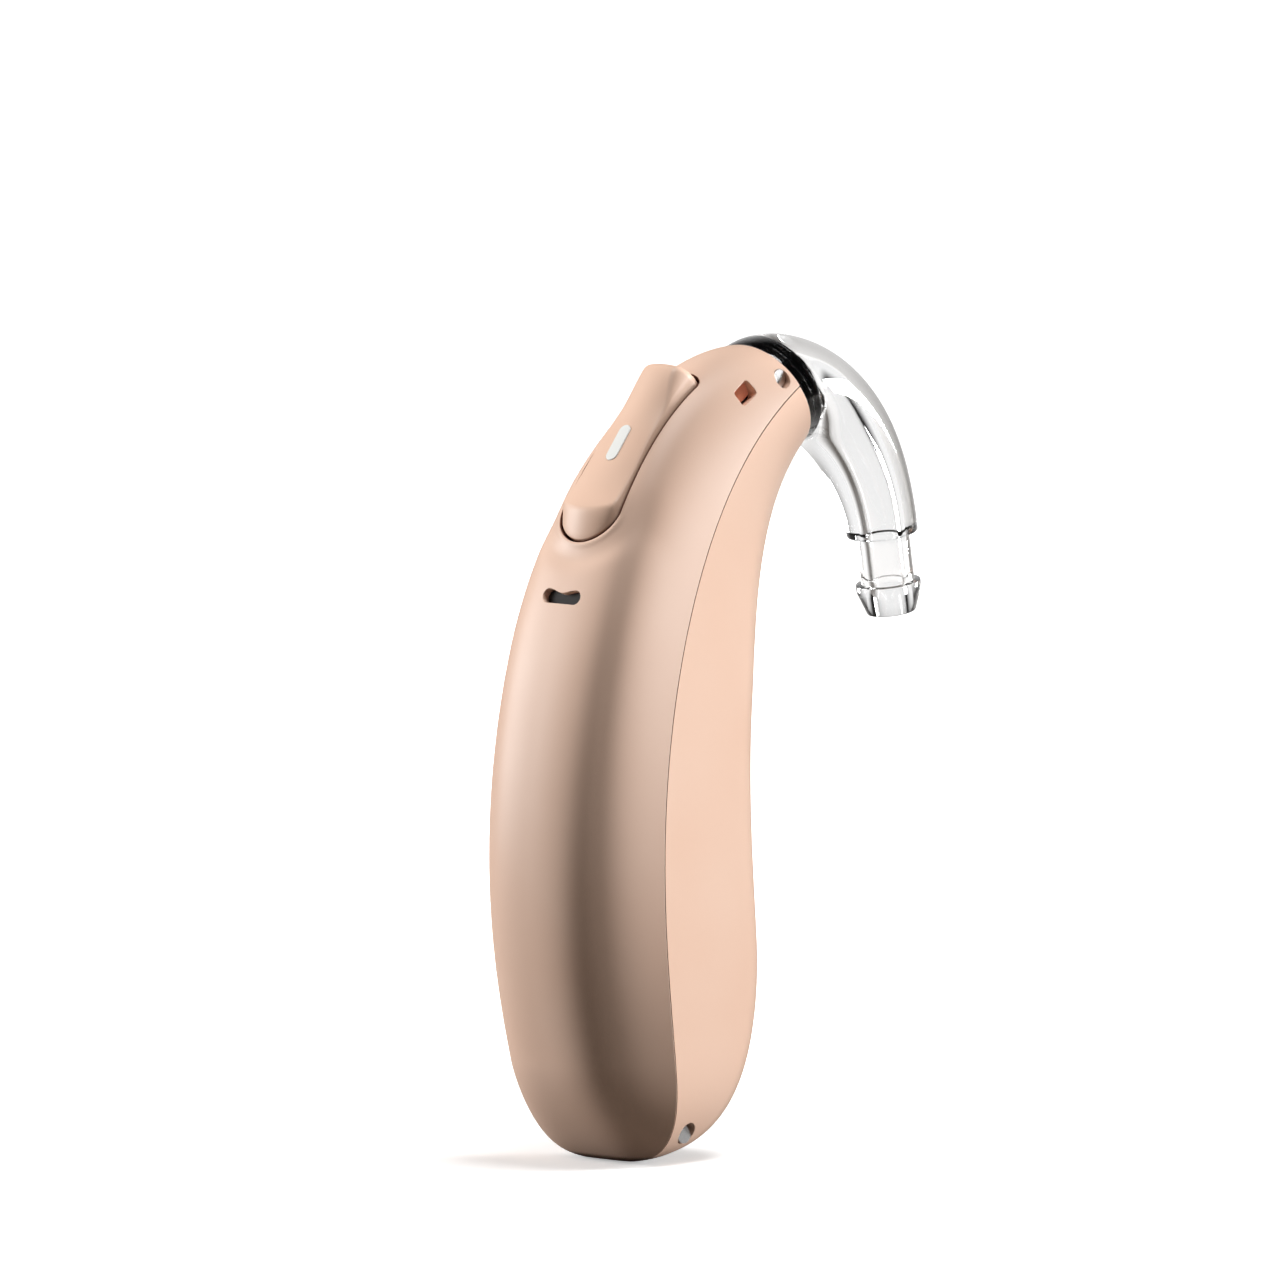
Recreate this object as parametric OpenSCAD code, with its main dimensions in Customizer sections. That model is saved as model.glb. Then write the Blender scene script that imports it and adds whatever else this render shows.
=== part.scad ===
// Behind-the-ear hearing aid with a rechargeable cell, a rocker button and a clear ear hook.
// X points forward to the ear hook, Y to the left, Z up. The part stands on its rounded base.

/* [Housing] */
// Rise of the shell seam from the base to the hook joint
seam_h = 37.3; // [36:0.1:39]
// Largest depth of the spine shell behind the seam
spine_depth = 6.2; // [6:0.1:6.6]
// Largest depth of the front shell ahead of the seam
front_depth = 8.8; // [8.6:0.1:9.4]
// Largest half width of the housing
half_w = 4.7; // [4.6:0.05:5.1]
// Outer radius of the round neck at the hook joint
neck_r = 3; // [2.95:0.01:3.1]
// Distance of the neck's centre below the seam end
neck_drop = 0.8; // [0.7:0.05:0.9]
// Wall of both shells
wall = 0.8; // [0.7:0.05:0.85]
// Gap between the two shells at the seam
seam_gap = 0.06; // [0.04:0.01:0.1]
// Length of the base rounding on the spine side
base_round_spine = 5.4; // [5:0.1:6.5]
// Length of the base rounding on the front side
base_round_front = 11.1; // [10:0.1:12]
// Length of the base rounding on each flank
base_round_flank = 5.8; // [5:0.1:6.5]
// Radius of the long front edges
front_edge_r = 2.2; // [1.8:0.1:2.4]

/* [Rocker button] */
// Gap between the rocker and its opening
rocker_gap = 0.22; // [0.18:0.01:0.28]
// Half width of the opening at its lower end
rocker_low_r = 1.85; // [1.7:0.05:1.9]
// Half width of the opening at its upper end
rocker_high_w = 1.45; // [1.4:0.05:1.5]
// Corner radius of the opening at its upper end
rocker_corner_r = 0.75; // [0.6:0.05:0.9]
// Height of the lower ridge above the line through the opening's ends
ridge_low_h = 0.8; // [0.7:0.05:1]
// Height of the thumb face at its middle
saddle_h = 1.1; // [1:0.05:1.2]
// Height of the upper ridge
ridge_high_h = 1.42; // [1.3:0.05:1.6]
// Depth of the rocker's skirt below the line through the opening's ends
skirt_depth = 0.9; // [0.8:0.05:1]
// Depth of the axle below the line through the opening's ends
axle_depth = 1.55; // [1.5:0.05:1.65]
// Diameter of the axle
axle_d = 0.8; // [0.7:0.05:0.9]
// Radial running clearance of the rocker on its axle
axle_play = 0.03; // [0.02:0.01:0.05]
// Tilt of the rocker each way, in degrees
rocker_tilt_deg = 2; // [1:0.25:2]
// Length of the status light
light_len = 2.1; // [1.9:0.1:2.2]
// Width of the status light
light_w = 0.56; // [0.5:0.02:0.7]

/* [Ear hook] */
// Radius of the hook at the end of its thick part
hook_tip_r = 1.78; // [1.7:0.02:1.9]
// Reach of the hook ahead of the joint centre
hook_reach = 9.15; // [8.8:0.05:9.6]
// Drop of the thick part's end below the joint centre
hook_drop = 7.4; // [7:0.1:7.8]
// Diameter of the sound bore
bore_d = 1.5; // [1.3:0.05:1.6]
// Radius of the narrow neck of the tip
tip_neck_r = 1.32; // [1.2:0.02:1.4]
// Length of the narrow neck of the tip
tip_neck_len = 2.45; // [2.2:0.05:2.6]
// Radius of the barb that holds the tubing
barb_r = 1.62; // [1.56:0.01:1.66]
// Length of the straight land on the barb
barb_land = 0.35; // [0.3:0.05:0.5]
// Length of the barb's taper
barb_taper_len = 1.2; // [1:0.05:1.4]
// Radius of the barb's open end
barb_end_r = 1.22; // [1.1:0.02:1.3]

/* [Collar] */
// Radius of the ribs that hold the hook
rib_r = 2.4; // [2.3:0.05:2.45]
// Depth of the grooves between the ribs
rib_depth = 0.28; // [0.2:0.02:0.32]
// Number of ribs
rib_count = 3; // [2:1:4]
// Length of the collar outside the housing
collar_out = 1.45; // [1.3:0.05:1.5]
// Length of the collar inside the housing
collar_in = 2.1; // [2:0.05:2.2]
// Diameter of the cross pin through the collar
collar_pin_d = 0.9; // [0.8:0.05:0.95]
// Diameter of the cross pin at the base
base_pin_d = 1; // [0.8:0.05:1]

/* [Power] */
// Diameter of the rechargeable cell
cell_d = 8.4; // [8:0.1:8.5]
// Space on each side of the cell, to the widest inside of the housing
cell_side_gap = 1.2; // [1.15:0.05:1.4]
// Diameter of a charging contact
contact_d = 1.5; // [1.2:0.1:1.8]

/* [Sound] */
// Length of the receiver, which is the loudspeaker
receiver_l = 7; // [6.6:0.1:7.1]
// Height of the receiver
receiver_h = 2.7; // [2.4:0.1:2.8]
// Space on each side of the receiver, to the inside of the housing where it is slim
receiver_side_gap = 1.17; // [1.1:0.01:1.3]
// Wall of the rubber boot round the receiver
boot_wall = 0.35; // [0.3:0.05:0.4]
// Length of a microphone
mic_l = 2; // [1.8:0.05:2.1]
// Width of a microphone
mic_w = 1.6; // [1.4:0.05:1.7]
// Thickness of a microphone
mic_t = 0.95; // [0.85:0.05:1]
// Wall of a microphone's gasket
gasket_wall = 0.28; // [0.25:0.01:0.3]

/* [Electronics] */
// Space on each side of the chassis, to the inside of the housing where it is slim
chassis_side_gap = 0.97; // [0.95:0.01:1.05]
// Thickness of the main board
board_t = 0.4; // [0.3:0.05:0.5]
// Thickness of the flexible circuits
flex_t = 0.15; // [0.12:0.01:0.18]
// Thickness of the switch board
switch_board_t = 0.25; // [0.2:0.05:0.3]

/* [Hidden] */

// Smoothness of round pieces and the rings and columns of the shells
$fn = 48;
ring_count = 32;
spine_cols = 24;
front_cols = 20;
hook_rings = 34;
hook_sides = 28;
bore_sides = 20;
base_power = 1.6;

// One small running or seating gap, and one overrun for cuts
seat = 0.03;
cut_over = 1;

// Seam line in the side view, as shares of seam_h
seam_x_share = [0, -0.003, -0.079, -0.013, 0.098, 0.2895];
seam_z_share = [0, 0.234, 0.385, 0.688, 0.8975, 1];
// Depths and half width along the seam, as shares of the largest ones; the last point is the neck
spine_share = [0.504, 0.733, 1.04, 0.699, 0.9385, 1.01];
front_share = [0.825, 0.951, 1, 0.908, 0.76, 0.673];
width_share = [0.995, 1, 0.981, 0.912, 0.798, 0.658];
// Powers of the base roundings
spine_power = 1.754;
front_power = 2.5;
flank_power = 3.35;
// Fullness of the spine's corner, its lower handle, and the crease at the seam
corner_share = [0.68, 0.72, 0.88, 1.25, 1.1];
handle_share = [0.72, 0.72, 0.74, 0.92, 0.855];
crease_share = [0.55, 0.12, 0.03, 0.04, 0.04];
// Share of the seam after which the section turns into the round neck
neck_blend_share = 0.585;

function choose(n, k) = k == 0 ? 1 : choose(n, k - 1) * (n - k + 1) / k;
function weights(n, t) = [for (i = [0 : n]) choose(n, i) * pow(t, i) * pow(1 - t, n - i)];
function bernstein(values, t) = weights(len(values) - 1, t) * values;
function lerp(a, b, t) = a + (b - a) * t;
function smooth_step(a, b, t) =
    let (x = min(max((t - a) / (b - a), 0), 1)) x * x * (3 - 2 * x);
function turn(v, deg) = [v[0] * cos(deg) - v[1] * sin(deg), v[0] * sin(deg) + v[1] * cos(deg)];

line_pts = [for (i = [0 : 5]) seam_h * [seam_x_share[i], seam_z_share[i]]];
spine_pts = concat(spine_depth * spine_share, [neck_r - neck_drop]);
front_pts = concat(front_depth * front_share, [neck_r + neck_drop]);
width_pts = concat(half_w * width_share, [neck_r]);

// Half of the space between the flanks, at the widest and where the housing is slim
wide_half = half_w - wall;
slim_share = 0.3333;
slim_half = lerp(neck_r - wall, wide_half, slim_share);
cell_t = 2 * (wide_half - cell_side_gap);
receiver_w = 2 * (slim_half - receiver_side_gap);
chassis_w = 2 * (slim_half - chassis_side_gap);

// The seam line from the base at zero, its direction and the forward direction square to it
function line(t) = bernstein(line_pts, t);
function seam_dir(t) =
    let (d = bernstein([for (i = [0 : 4]) line_pts[i + 1] - line_pts[i]], t)) d / norm(d);
function forward(t) = let (d = seam_dir(t)) [d[1], -d[0]];
function forward_deg(t) = let (f = forward(t)) atan2(f[1], f[0]);

// The seam line's parameter at a height, found by halving
function share_at(z, low = 0, high = 1, steps = 30) =
    let (mid = (low + high) / 2)
    steps == 0 ? mid
    : line(mid)[1] < z ? share_at(z, mid, high, steps - 1)
    : share_at(z, low, mid, steps - 1);

// Rounding of the base: 0 at the lowest point and 1 above the rounding's length
function base_round(h, length, power) =
    let (x = max(1 - max(h, 0) / length, 0)) pow(1 - pow(x, power), 1 / power);

// Depths and half width of the surface that lies inset inside the outer one
function height_at(t, inset) = norm(line(t)) - inset;
function spine_at(t, inset) =
    (bernstein(spine_pts, t) - inset)
    * base_round(height_at(t, inset), base_round_spine - inset, spine_power);
function front_at(t, inset) =
    (bernstein(front_pts, t) - inset)
    * base_round(height_at(t, inset), base_round_front - inset, front_power);
function width_at(t, inset) =
    (bernstein(width_pts, t) - inset)
    * base_round(height_at(t, inset), base_round_flank - inset, flank_power);

// The origin lies under the middle of the whole part, between the crest and the barb
hook_tip_deg = -80;
barb_lip = 0.06;
crest_low_x = min([
    for (i = [1 : ring_count])
        let (t = ring_t(i, 0)) line(t)[0] - spine_at(t, 0) * forward(t)[0]
]);
barb_high_x = line(1)[0] + neck_drop * forward(1)[0] + hook_reach
    + (tip_neck_len + barb_lip + barb_land) * cos(hook_tip_deg) - barb_r * sin(hook_tip_deg);
base_x = -(crest_low_x + barb_high_x) / 2;
function seam(t) = [base_x, 0] + line(t);
function side_point(t, a) = seam(t) + a * forward(t);

// One section: [forward offset, sideways offset], u from 0 at the crest or the front to 1 at the seam
function spine_curve(t, inset, u) =
    let (
        a = spine_at(t, inset), w = width_at(t, inset),
        k = bernstein(corner_share, t), h = bernstein(handle_share, t), g = bernstein(crease_share, t)
    )
    bernstein([[-a, 0], [-a, k * w], [-h * a, w - h * a * g], [0, w]], u);
front_handle_share = 0.6;
front_flat_share = 0.3;
function front_curve(t, inset, u) =
    let (
        b = front_at(t, inset), w = width_at(t, inset),
        q = min(front_edge_r, 0.8 * b),
        v = (u - front_flat_share) / (1 - front_flat_share)
    )
    u < front_flat_share
    ? [lerp(0, b - q, u / front_flat_share), w]
    : bernstein([[b - q, w], [b - q + front_handle_share * q, w], [b, front_handle_share * w], [b, 0]], v);

// The round neck that the sections turn into, with the same u
function neck_blend(t) = smooth_step(neck_blend_share, 1, t);
function round_curve(t, inset, u, on_spine) =
    let (
        a = spine_at(t, inset), b = front_at(t, inset), w = width_at(t, inset),
        c = (b - a) / 2, r = (a + b) / 2,
        seam_deg = acos(min(max(-c / max(r, seat), -1), 1)),
        deg = on_spine ? lerp(180, seam_deg, u) : seam_deg * (1 - u)
    )
    [c + r * cos(deg), w * sin(deg)];
function section(t, inset, u, on_spine) =
    let (m = neck_blend(t), flat = on_spine ? spine_curve(t, inset, u) : front_curve(t, inset, u))
    m * round_curve(t, inset, u, on_spine) + (1 - m) * flat;

// A point of the shell: v runs from -1 at one seam to 1 at the other, through the crest or the front
function shell_point(t, inset, v, on_spine) =
    let (
        u = on_spine ? abs(v) : 1 - abs(v),
        s = section(t, inset, u, on_spine),
        pull = (on_spine ? -1 : 1) * seam_gap / 2 * min(1, norm(s) / seam_gap) * abs(v),
        p = side_point(t, s[0] + pull)
    )
    [p[0], sign(v) * s[1], p[1]];

// Parameter of a ring, closer together near the base; an inset surface starts above its own base
function start_at(inset) = inset / norm(line_pts[1] - line_pts[0]) / (len(line_pts) - 1);
function ring_t(i, inset) = lerp(start_at(inset), 1, pow(i / ring_count, base_power));

// Faces between rings of one skin; ring 0 is one point
function skin_faces(base, cols, rings, flip) = [
    for (j = [0 : cols - 1]) let (f = [base, base + 1 + j, base + 2 + j]) flip ? [f[0], f[2], f[1]] : f,
    for (i = [1 : rings - 1], j = [0 : cols - 1])
        let (
            p = base + 1 + (i - 1) * (cols + 1) + j, q = p + cols + 1,
            f = [[p, q, p + 1], [p + 1, q, q + 1]]
        )
        each [for (g = f) flip ? [g[0], g[2], g[1]] : g]
];

module shell_solid(on_spine, cols) {
    function skin(inset) = [
        [seam(start_at(inset))[0], 0, seam(start_at(inset))[1]],
        for (i = [1 : ring_count], j = [0 : cols])
            shell_point(ring_t(i, inset), inset, 2 * j / cols - 1, on_spine)
    ];
    count = 1 + ring_count * (cols + 1);
    function at(skin_no, i, j) = skin_no * count + (i == 0 ? 0 : 1 + (i - 1) * (cols + 1) + j);
    edge = [
        for (i = [0 : ring_count - 1]) each [
            [at(0, i, 0), at(1, i, 0), at(0, i + 1, 0)],
            [at(0, i + 1, 0), at(1, i, 0), at(1, i + 1, 0)],
            [at(0, i, cols), at(0, i + 1, cols), at(1, i, cols)],
            [at(0, i + 1, cols), at(1, i + 1, cols), at(1, i, cols)]
        ]
    ];
    top = [
        for (j = [0 : cols - 1]) each [
            [at(0, ring_count, j), at(1, ring_count, j), at(0, ring_count, j + 1)],
            [at(0, ring_count, j + 1), at(1, ring_count, j), at(1, ring_count, j + 1)]
        ]
    ];
    flip = !on_spine;
    polyhedron(
        concat(skin(0), skin(wall)),
        concat(
            skin_faces(0, cols, ring_count, flip),
            skin_faces(count, cols, ring_count, !flip),
            [for (f = concat(edge, top)) flip ? [f[0], f[2], f[1]] : f]
        )
    );
}

// Frames of the pieces: on the seam, on the rocker and on the hook joint
module at_side(t, a = 0) {
    p = side_point(t, a);
    translate([p[0], 0, p[1]]) rotate([0, -forward_deg(t), 0]) children();
}

rocker_low_share = 0.692;
rocker_high_share = 0.909;
function crest(t, inset = 0) = side_point(t, -spine_at(t, inset));
rocker_low = crest(rocker_low_share);
rocker_high = crest(rocker_high_share);
rocker_mid = (rocker_low + rocker_high) / 2;
rocker_len = norm(rocker_high - rocker_low);
rocker_deg = atan2(rocker_high[1] - rocker_low[1], rocker_high[0] - rocker_low[0]);
module in_rocker() {
    translate([rocker_mid[0], 0, rocker_mid[1]]) rotate([0, -rocker_deg, 0]) children();
}

joint = side_point(1, neck_drop);
joint_deg = atan2(seam_dir(1)[1], seam_dir(1)[0]);
module at_joint() {
    translate([joint[0], 0, joint[1]]) rotate([0, 90 - joint_deg, 0]) children();
}

// Simple building shapes
module block(low, high) {
    translate(low) cube(high - low);
}
module across(d, length) {
    rotate([90, 0, 0]) cylinder(h = length, d = d, center = true);
}
module plate_xz(points, y_low, y_high) {
    translate([0, y_high, 0]) rotate([90, 0, 0]) linear_extrude(y_high - y_low) polygon(points);
}
function arc(centre, r, from, to, steps = 12) =
    [for (k = [0 : steps]) let (a = lerp(from, to, k / steps)) centre + r * [cos(a), sin(a)]];
function capsule(length, width) = concat(
    arc([-(length - width) / 2, 0], width / 2, 90, 270),
    arc([(length - width) / 2, 0], width / 2, -90, 90)
);
function round_box(length, width, r) = [
    for (k = [0 : 3])
        let (sx = k == 0 || k == 3 ? 1 : -1, sy = k < 2 ? 1 : -1)
        each arc([sx * (length / 2 - r), sy * (width / 2 - r)], r, 90 * k, 90 * k + 90, 6)
];

// Outline of the rocker's opening seen square on, grown by the amount given
function opening_outline(grow) = concat(
    arc([-rocker_len / 2 + rocker_low_r, 0], rocker_low_r + grow, 90, 270, 20),
    arc(
        [rocker_len / 2 - rocker_corner_r, rocker_corner_r - rocker_high_w],
        rocker_corner_r + grow, -90, 0, 8
    ),
    arc(
        [rocker_len / 2 - rocker_corner_r, rocker_high_w - rocker_corner_r],
        rocker_corner_r + grow, 0, 90, 8
    )
);

// Side view of the rocker: two ridges with a low saddle between them for the thumb
ridge_low_in = 1.7;
ridge_high_in = 1;
nose_h = 0.3;
heel_h = 0.05;
ridge_low = [ridge_low_in - rocker_len / 2, ridge_low_h];
ridge_high = [rocker_len / 2 - ridge_high_in, ridge_high_h];
saddle_handle = 2 * [0, saddle_h] - (ridge_low + ridge_high) / 2;
function rocker_top(lift) = concat(
    [[-rocker_len / 2, heel_h + lift]],
    [for (k = [0 : 12]) bernstein([ridge_low, saddle_handle, ridge_high], k / 12) + [0, lift]],
    [for (k = [1 : 6]) bernstein(
        [ridge_high, [rocker_len / 2, ridge_high_h], [rocker_len / 2, nose_h]], k / 6
    ) + [0, lift]]
);
function rocker_side(lift, depth) = concat(
    [[-rocker_len / 2, -depth]], rocker_top(lift), [[rocker_len / 2, -depth]]
);

// Microphones: places along the seam or the hook joint
rear_mic_share = 0.637;
slot_l = 2.4;
slot_w = 0.74;
screen_t = 0.1;
screen_depth_share = 0.45;
rear_mic_a = -spine_at(rear_mic_share, wall) + 0.5 * gasket_wall;
front_mic_back = 3.38;
front_mic_top = 2.72;
front_mic_low = front_mic_top - gasket_wall - mic_t;
duct_r = 0.2;
port_back = 3.27;
port_rise = 2.44;
port_l = 1.15;
port_w = 0.68;
port_corner_r = 0.16;

// Stack under the rocker, from its axle down to the deck of the chassis
hub_r = 0.65;
hub_w = 1.7;
hub_gap = 0.07;
hub_drop = 0.2;
ear_t = 0.65;
ear_r = 0.55;
axle_z = -axle_depth;
board_top_z = axle_z - hub_r - hub_drop;
deck_z = board_top_z - switch_board_t;
deck_t = 0.6;
deck_low_z = deck_z - deck_t;
deck_run = 0.75;
switch_w = 1.6;
switch_h = 0.35;
dome_h = 0.2;

// The switches share the run from the axle to the front microphone
mic_corner_back = front_mic_back + mic_l / 2 + gasket_wall;
mic_corner = joint + [-mic_corner_back, front_mic_low] * [seam_dir(1), -forward(1)];
switch_run = turn(mic_corner - rocker_mid, -rocker_deg)[0] - seat;
switch_x_share = 0.7273;
switch_l_share = 0.4545;
dome_share = [0.35, 0.225];
switch_x = switch_x_share * switch_run;
switch_l = switch_l_share * switch_run;
stub_r = 0.5;
dome_top_z = board_top_z + switch_h + dome_h;
stub_travel = (switch_x + stub_r) * sin(rocker_tilt_deg);
stub_low_z = dome_top_z + stub_travel + seat;

// Light guide: a flush capsule with a leg beside the hub, above its light source
guide_depth = 0.7;
leg_l = 0.8;
leg_x = hub_r + seat + leg_l / 2;
leg_low_z = axle_z + 0.3 * axle_depth;
led_l = 0.7;
led_w = 0.5;
led_h = 0.4;

// Cross pins
collar_pin_back = 0.69;
collar_pin_rise = 1.66;
collar_pin_recess = 0.55;
base_pin_x = 1.14;
base_pin_z = 1.52;

// Receiver and its tube, in the rocker's frame
receiver_top_z = deck_low_z - seat - boot_wall;
receiver_low_z = receiver_top_z - receiver_h;
receiver_high_x = 2.4;
receiver_low_x = receiver_high_x - receiver_l;
spout_r = 0.62;
spout_bore_r = 0.4;
spout_l = 1;
spout_z = receiver_top_z - 0.25 * receiver_h;
tube_r = 1;
tube_bore_r = 0.68;
nipple_r = 0.6;
nipple_l = 0.7;
collar_bore_r = 0.42;
collar_r = neck_r - wall - 4 * seat;

// Cell, contacts and the electronics bay
cell_x = 1.4;
cell_z = 8.6;
tab_t = 0.12;
tab_w = 1.6;
tab_rise_share = 0.158;
contact_share = [0.18, 0.28];
contact_proud = 0.04;
flex_low_share = 0.1;
flex_high_share = 0.37;
flex_w = 1.5;
cell_high_z = cell_z + cell_d / 2;
bay_lift = 1.85;
bay_low_share = share_at(cell_high_z + bay_lift);
bay_high_share = 0.585;
bay_rail = 0.8;

function foot_share(t) = lerp(0.8, 1, smooth_step(0, 0.15, t));
function chassis_spine_a(t) =
    -lerp(0.9, 0.7, smooth_step(0.25, 0.6, t)) * spine_at(t, wall) * foot_share(t);
function chassis_front_a(t) =
    lerp(0.93, 0.62, smooth_step(0.4, 0.95, t)) * front_at(t, wall) * foot_share(t);
side_steps = 20;
function spine_line(low, high, lift) = [
    for (k = [0 : side_steps])
        let (t = lerp(low, high, k / side_steps)) side_point(t, chassis_spine_a(t) - lift)
];
function front_line(low, high, inset) = [
    for (k = [side_steps : -1 : 0])
        let (t = lerp(low, high, k / side_steps)) side_point(t, chassis_front_a(t) - inset)
];
function contact_line(low, high, inset) = [
    for (k = [0 : side_steps])
        let (t = lerp(low, high, k / side_steps)) side_point(t, front_at(t, wall) - 2 * seat - inset)
];
function reversed(list) = [for (k = [len(list) - 1 : -1 : 0]) list[k]];

// The hook's outer and inner lines in the side view, from the joint to the end of its thick part
hook_end = joint + [hook_reach, -hook_drop];
tip_dir = [cos(hook_tip_deg), sin(hook_tip_deg)];
outer_start_handle = 3.35;
outer_end_handle = 8.8;
inner_start_handle = 2.3;
inner_end_handle = 3.4;
function hook_rail(side, start_handle, end_handle) =
    let (
        low = joint + side * neck_r * [-seam_dir(1)[1], seam_dir(1)[0]],
        high = hook_end + side * hook_tip_r * [-tip_dir[1], tip_dir[0]]
    )
    [low, low + start_handle * seam_dir(1), high - end_handle * tip_dir, high];
hook_outer = hook_rail(1, outer_start_handle, outer_end_handle);
hook_inner = hook_rail(-1, inner_start_handle, inner_end_handle);

// Each ring of the hook is a circle that spans the two lines
function hook_point(t) = bernstein((hook_outer + hook_inner) / 2, t);
function hook_span(t) = bernstein(hook_outer - hook_inner, t);
function hook_dir(t) = let (d = hook_span(t)) [d[1], -d[0]] / norm(d);
function hook_r(t) = norm(hook_span(t)) / 2;
funnel_low_share = 0.08;
funnel_high_share = 0.3;
funnel_r = 1.5;
bore_inset = 0.05;
function hook_bore_r(t) =
    lerp(funnel_r, bore_d / 2 - bore_inset, smooth_step(funnel_low_share, funnel_high_share, t));
socket_r = rib_r + seat;
socket_l = collar_out + 3 * seat;
tip_len = tip_neck_len + barb_land + barb_taper_len;
tip_root = 0.5;

// A tube swept along a line in the XZ plane, closed at both flat ends
module swept(points, dirs, radii, sides) {
    n = len(points);
    ring_pts = [
        for (i = [0 : n - 1], j = [0 : sides - 1])
            let (a = 360 * j / sides, out = radii[i] * cos(a))
            [points[i][0] - dirs[i][1] * out, radii[i] * sin(a), points[i][1] + dirs[i][0] * out]
    ];
    sides_faces = [
        for (i = [0 : n - 2], j = [0 : sides - 1])
            let (k = (j + 1) % sides, p = i * sides)
            each [[p + j, p + k, p + sides + j], [p + k, p + sides + k, p + sides + j]]
    ];
    polyhedron(
        ring_pts,
        concat(
            sides_faces,
            [[for (j = [sides - 1 : -1 : 0]) j]],
            [[for (j = [0 : sides - 1]) (n - 1) * sides + j]]
        )
    );
}
module at_tip() {
    translate([hook_end[0], 0, hook_end[1]]) rotate([0, 90 - hook_tip_deg, 0]) children();
}

module opening_cut() {
    in_rocker() translate([0, 0, -neck_r]) linear_extrude(3 * neck_r) polygon(opening_outline(0));
}
module port_cut(clearance) {
    at_joint() translate([-port_rise, 0, -port_back]) rotate([90, 0, 0])
        linear_extrude(4 * neck_r, center = true)
            polygon(round_box(port_w - 2 * clearance, port_l - 2 * clearance, port_corner_r));
}
module slot_prism(clearance, length) {
    rotate([90, 0, 90]) linear_extrude(length)
        polygon(capsule(slot_l - 2 * clearance, slot_w - 2 * clearance));
}
module collar_pin_bore(d, length) {
    at_joint() translate([-collar_pin_rise, 0, -collar_pin_back]) across(d, length);
}
module base_pin_bore(d, length) {
    translate([base_x + base_pin_x, 0, base_pin_z]) across(d, length);
}

module spine_shell() {
    color("#eacbb4") difference() {
        shell_solid(true, spine_cols);
        opening_cut();
        port_cut(0);
        at_side(rear_mic_share, -spine_at(rear_mic_share, 0) - cut_over)
            slot_prism(0, wall + 2 * cut_over);
        collar_pin_bore(collar_pin_d + 2 * seat, 4 * neck_r);
    }
}

module front_shell() {
    color("#eecfba") difference() {
        shell_solid(false, front_cols);
        base_pin_bore(base_pin_d + 2 * seat, 4 * half_w);
        for (t = contact_share)
            at_side(t, front_at(t, 0) - wall - cut_over) rotate([0, 90, 0])
                cylinder(h = wall + 2 * cut_over, d = contact_d + 2 * seat);
    }
}

// Soft strips that close the seam from inside, one on each side
gasket_half = 0.12;
gasket_depth = 0.3;
gasket_low_share = 0.06;
gasket_high_share = 0.9;
gasket_steps = 40;
module gasket_strip(side) {
    ring_pts = [
        for (k = [0 : gasket_steps])
            let (
                t = lerp(gasket_low_share, gasket_high_share, k / gasket_steps),
                y = width_at(t, wall) - 2 * seat,
                p = side_point(t, -gasket_half), q = side_point(t, gasket_half)
            )
            each [
                [p[0], side * y, p[1]], [q[0], side * y, q[1]],
                [q[0], side * (y - gasket_depth), q[1]], [p[0], side * (y - gasket_depth), p[1]]
            ]
    ];
    walls = [
        for (k = [0 : gasket_steps - 1], j = [0 : 3])
            let (m = (j + 1) % 4, p = 4 * k)
            each [[p + j, p + m, p + 4 + j], [p + m, p + 4 + m, p + 4 + j]]
    ];
    ends = [[3, 2, 1, 0], [for (j = [0 : 3]) 4 * gasket_steps + j]];
    faces = concat(walls, ends);
    polyhedron(ring_pts, side < 0 ? faces : [for (f = faces) reversed(f)]);
}
module seam_gasket() {
    color("#6b5344") for (side = [-1, 1]) gasket_strip(side);
}

module guide_profile(lift, depth) {
    rotate([90, 0, 0]) linear_extrude(2 * light_w, center = true) polygon(rocker_side(lift, depth));
}
module guide_solid(clearance) {
    intersection() {
        translate([0, 0, saddle_h - guide_depth - clearance]) linear_extrude(guide_depth + cut_over)
            polygon(capsule(light_len + 2 * clearance, light_w + 2 * clearance));
        guide_profile(seat, skirt_depth);
    }
    block(
        [leg_x - leg_l / 2 - clearance, -light_w / 2 - clearance, leg_low_z - clearance],
        [leg_x + leg_l / 2 + clearance, light_w / 2 + clearance, saddle_h - guide_depth / 2]
    );
}

module rocker_button() {
    color("#efd0bb") in_rocker() difference() {
        union() {
            intersection() {
                translate([0, 0, -skirt_depth]) linear_extrude(skirt_depth + ridge_high_h + cut_over)
                    polygon(opening_outline(-rocker_gap));
                rotate([90, 0, 0]) linear_extrude(3 * rocker_low_r, center = true)
                    polygon(rocker_side(0, skirt_depth));
            }
            block([-hub_r, -hub_w / 2, axle_z], [hub_r, hub_w / 2, -skirt_depth + seat]);
            translate([0, 0, axle_z]) across(2 * hub_r, hub_w);
            for (side = [-1, 1])
                translate([side * switch_x, 0, stub_low_z])
                    cylinder(h = -skirt_depth - stub_low_z + seat, r = stub_r);
        }
        translate([0, 0, axle_z]) across(axle_d + 2 * axle_play, 2 * hub_w);
        guide_solid(seat);
    }
}
module status_lens() {
    color("#f4f4f2") in_rocker() guide_solid(0);
}
module rocker_axle() {
    color("#b9bcc0") in_rocker() translate([0, 0, axle_z])
        across(axle_d, hub_w + 2 * hub_gap + 2 * ear_t);
}

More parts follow.
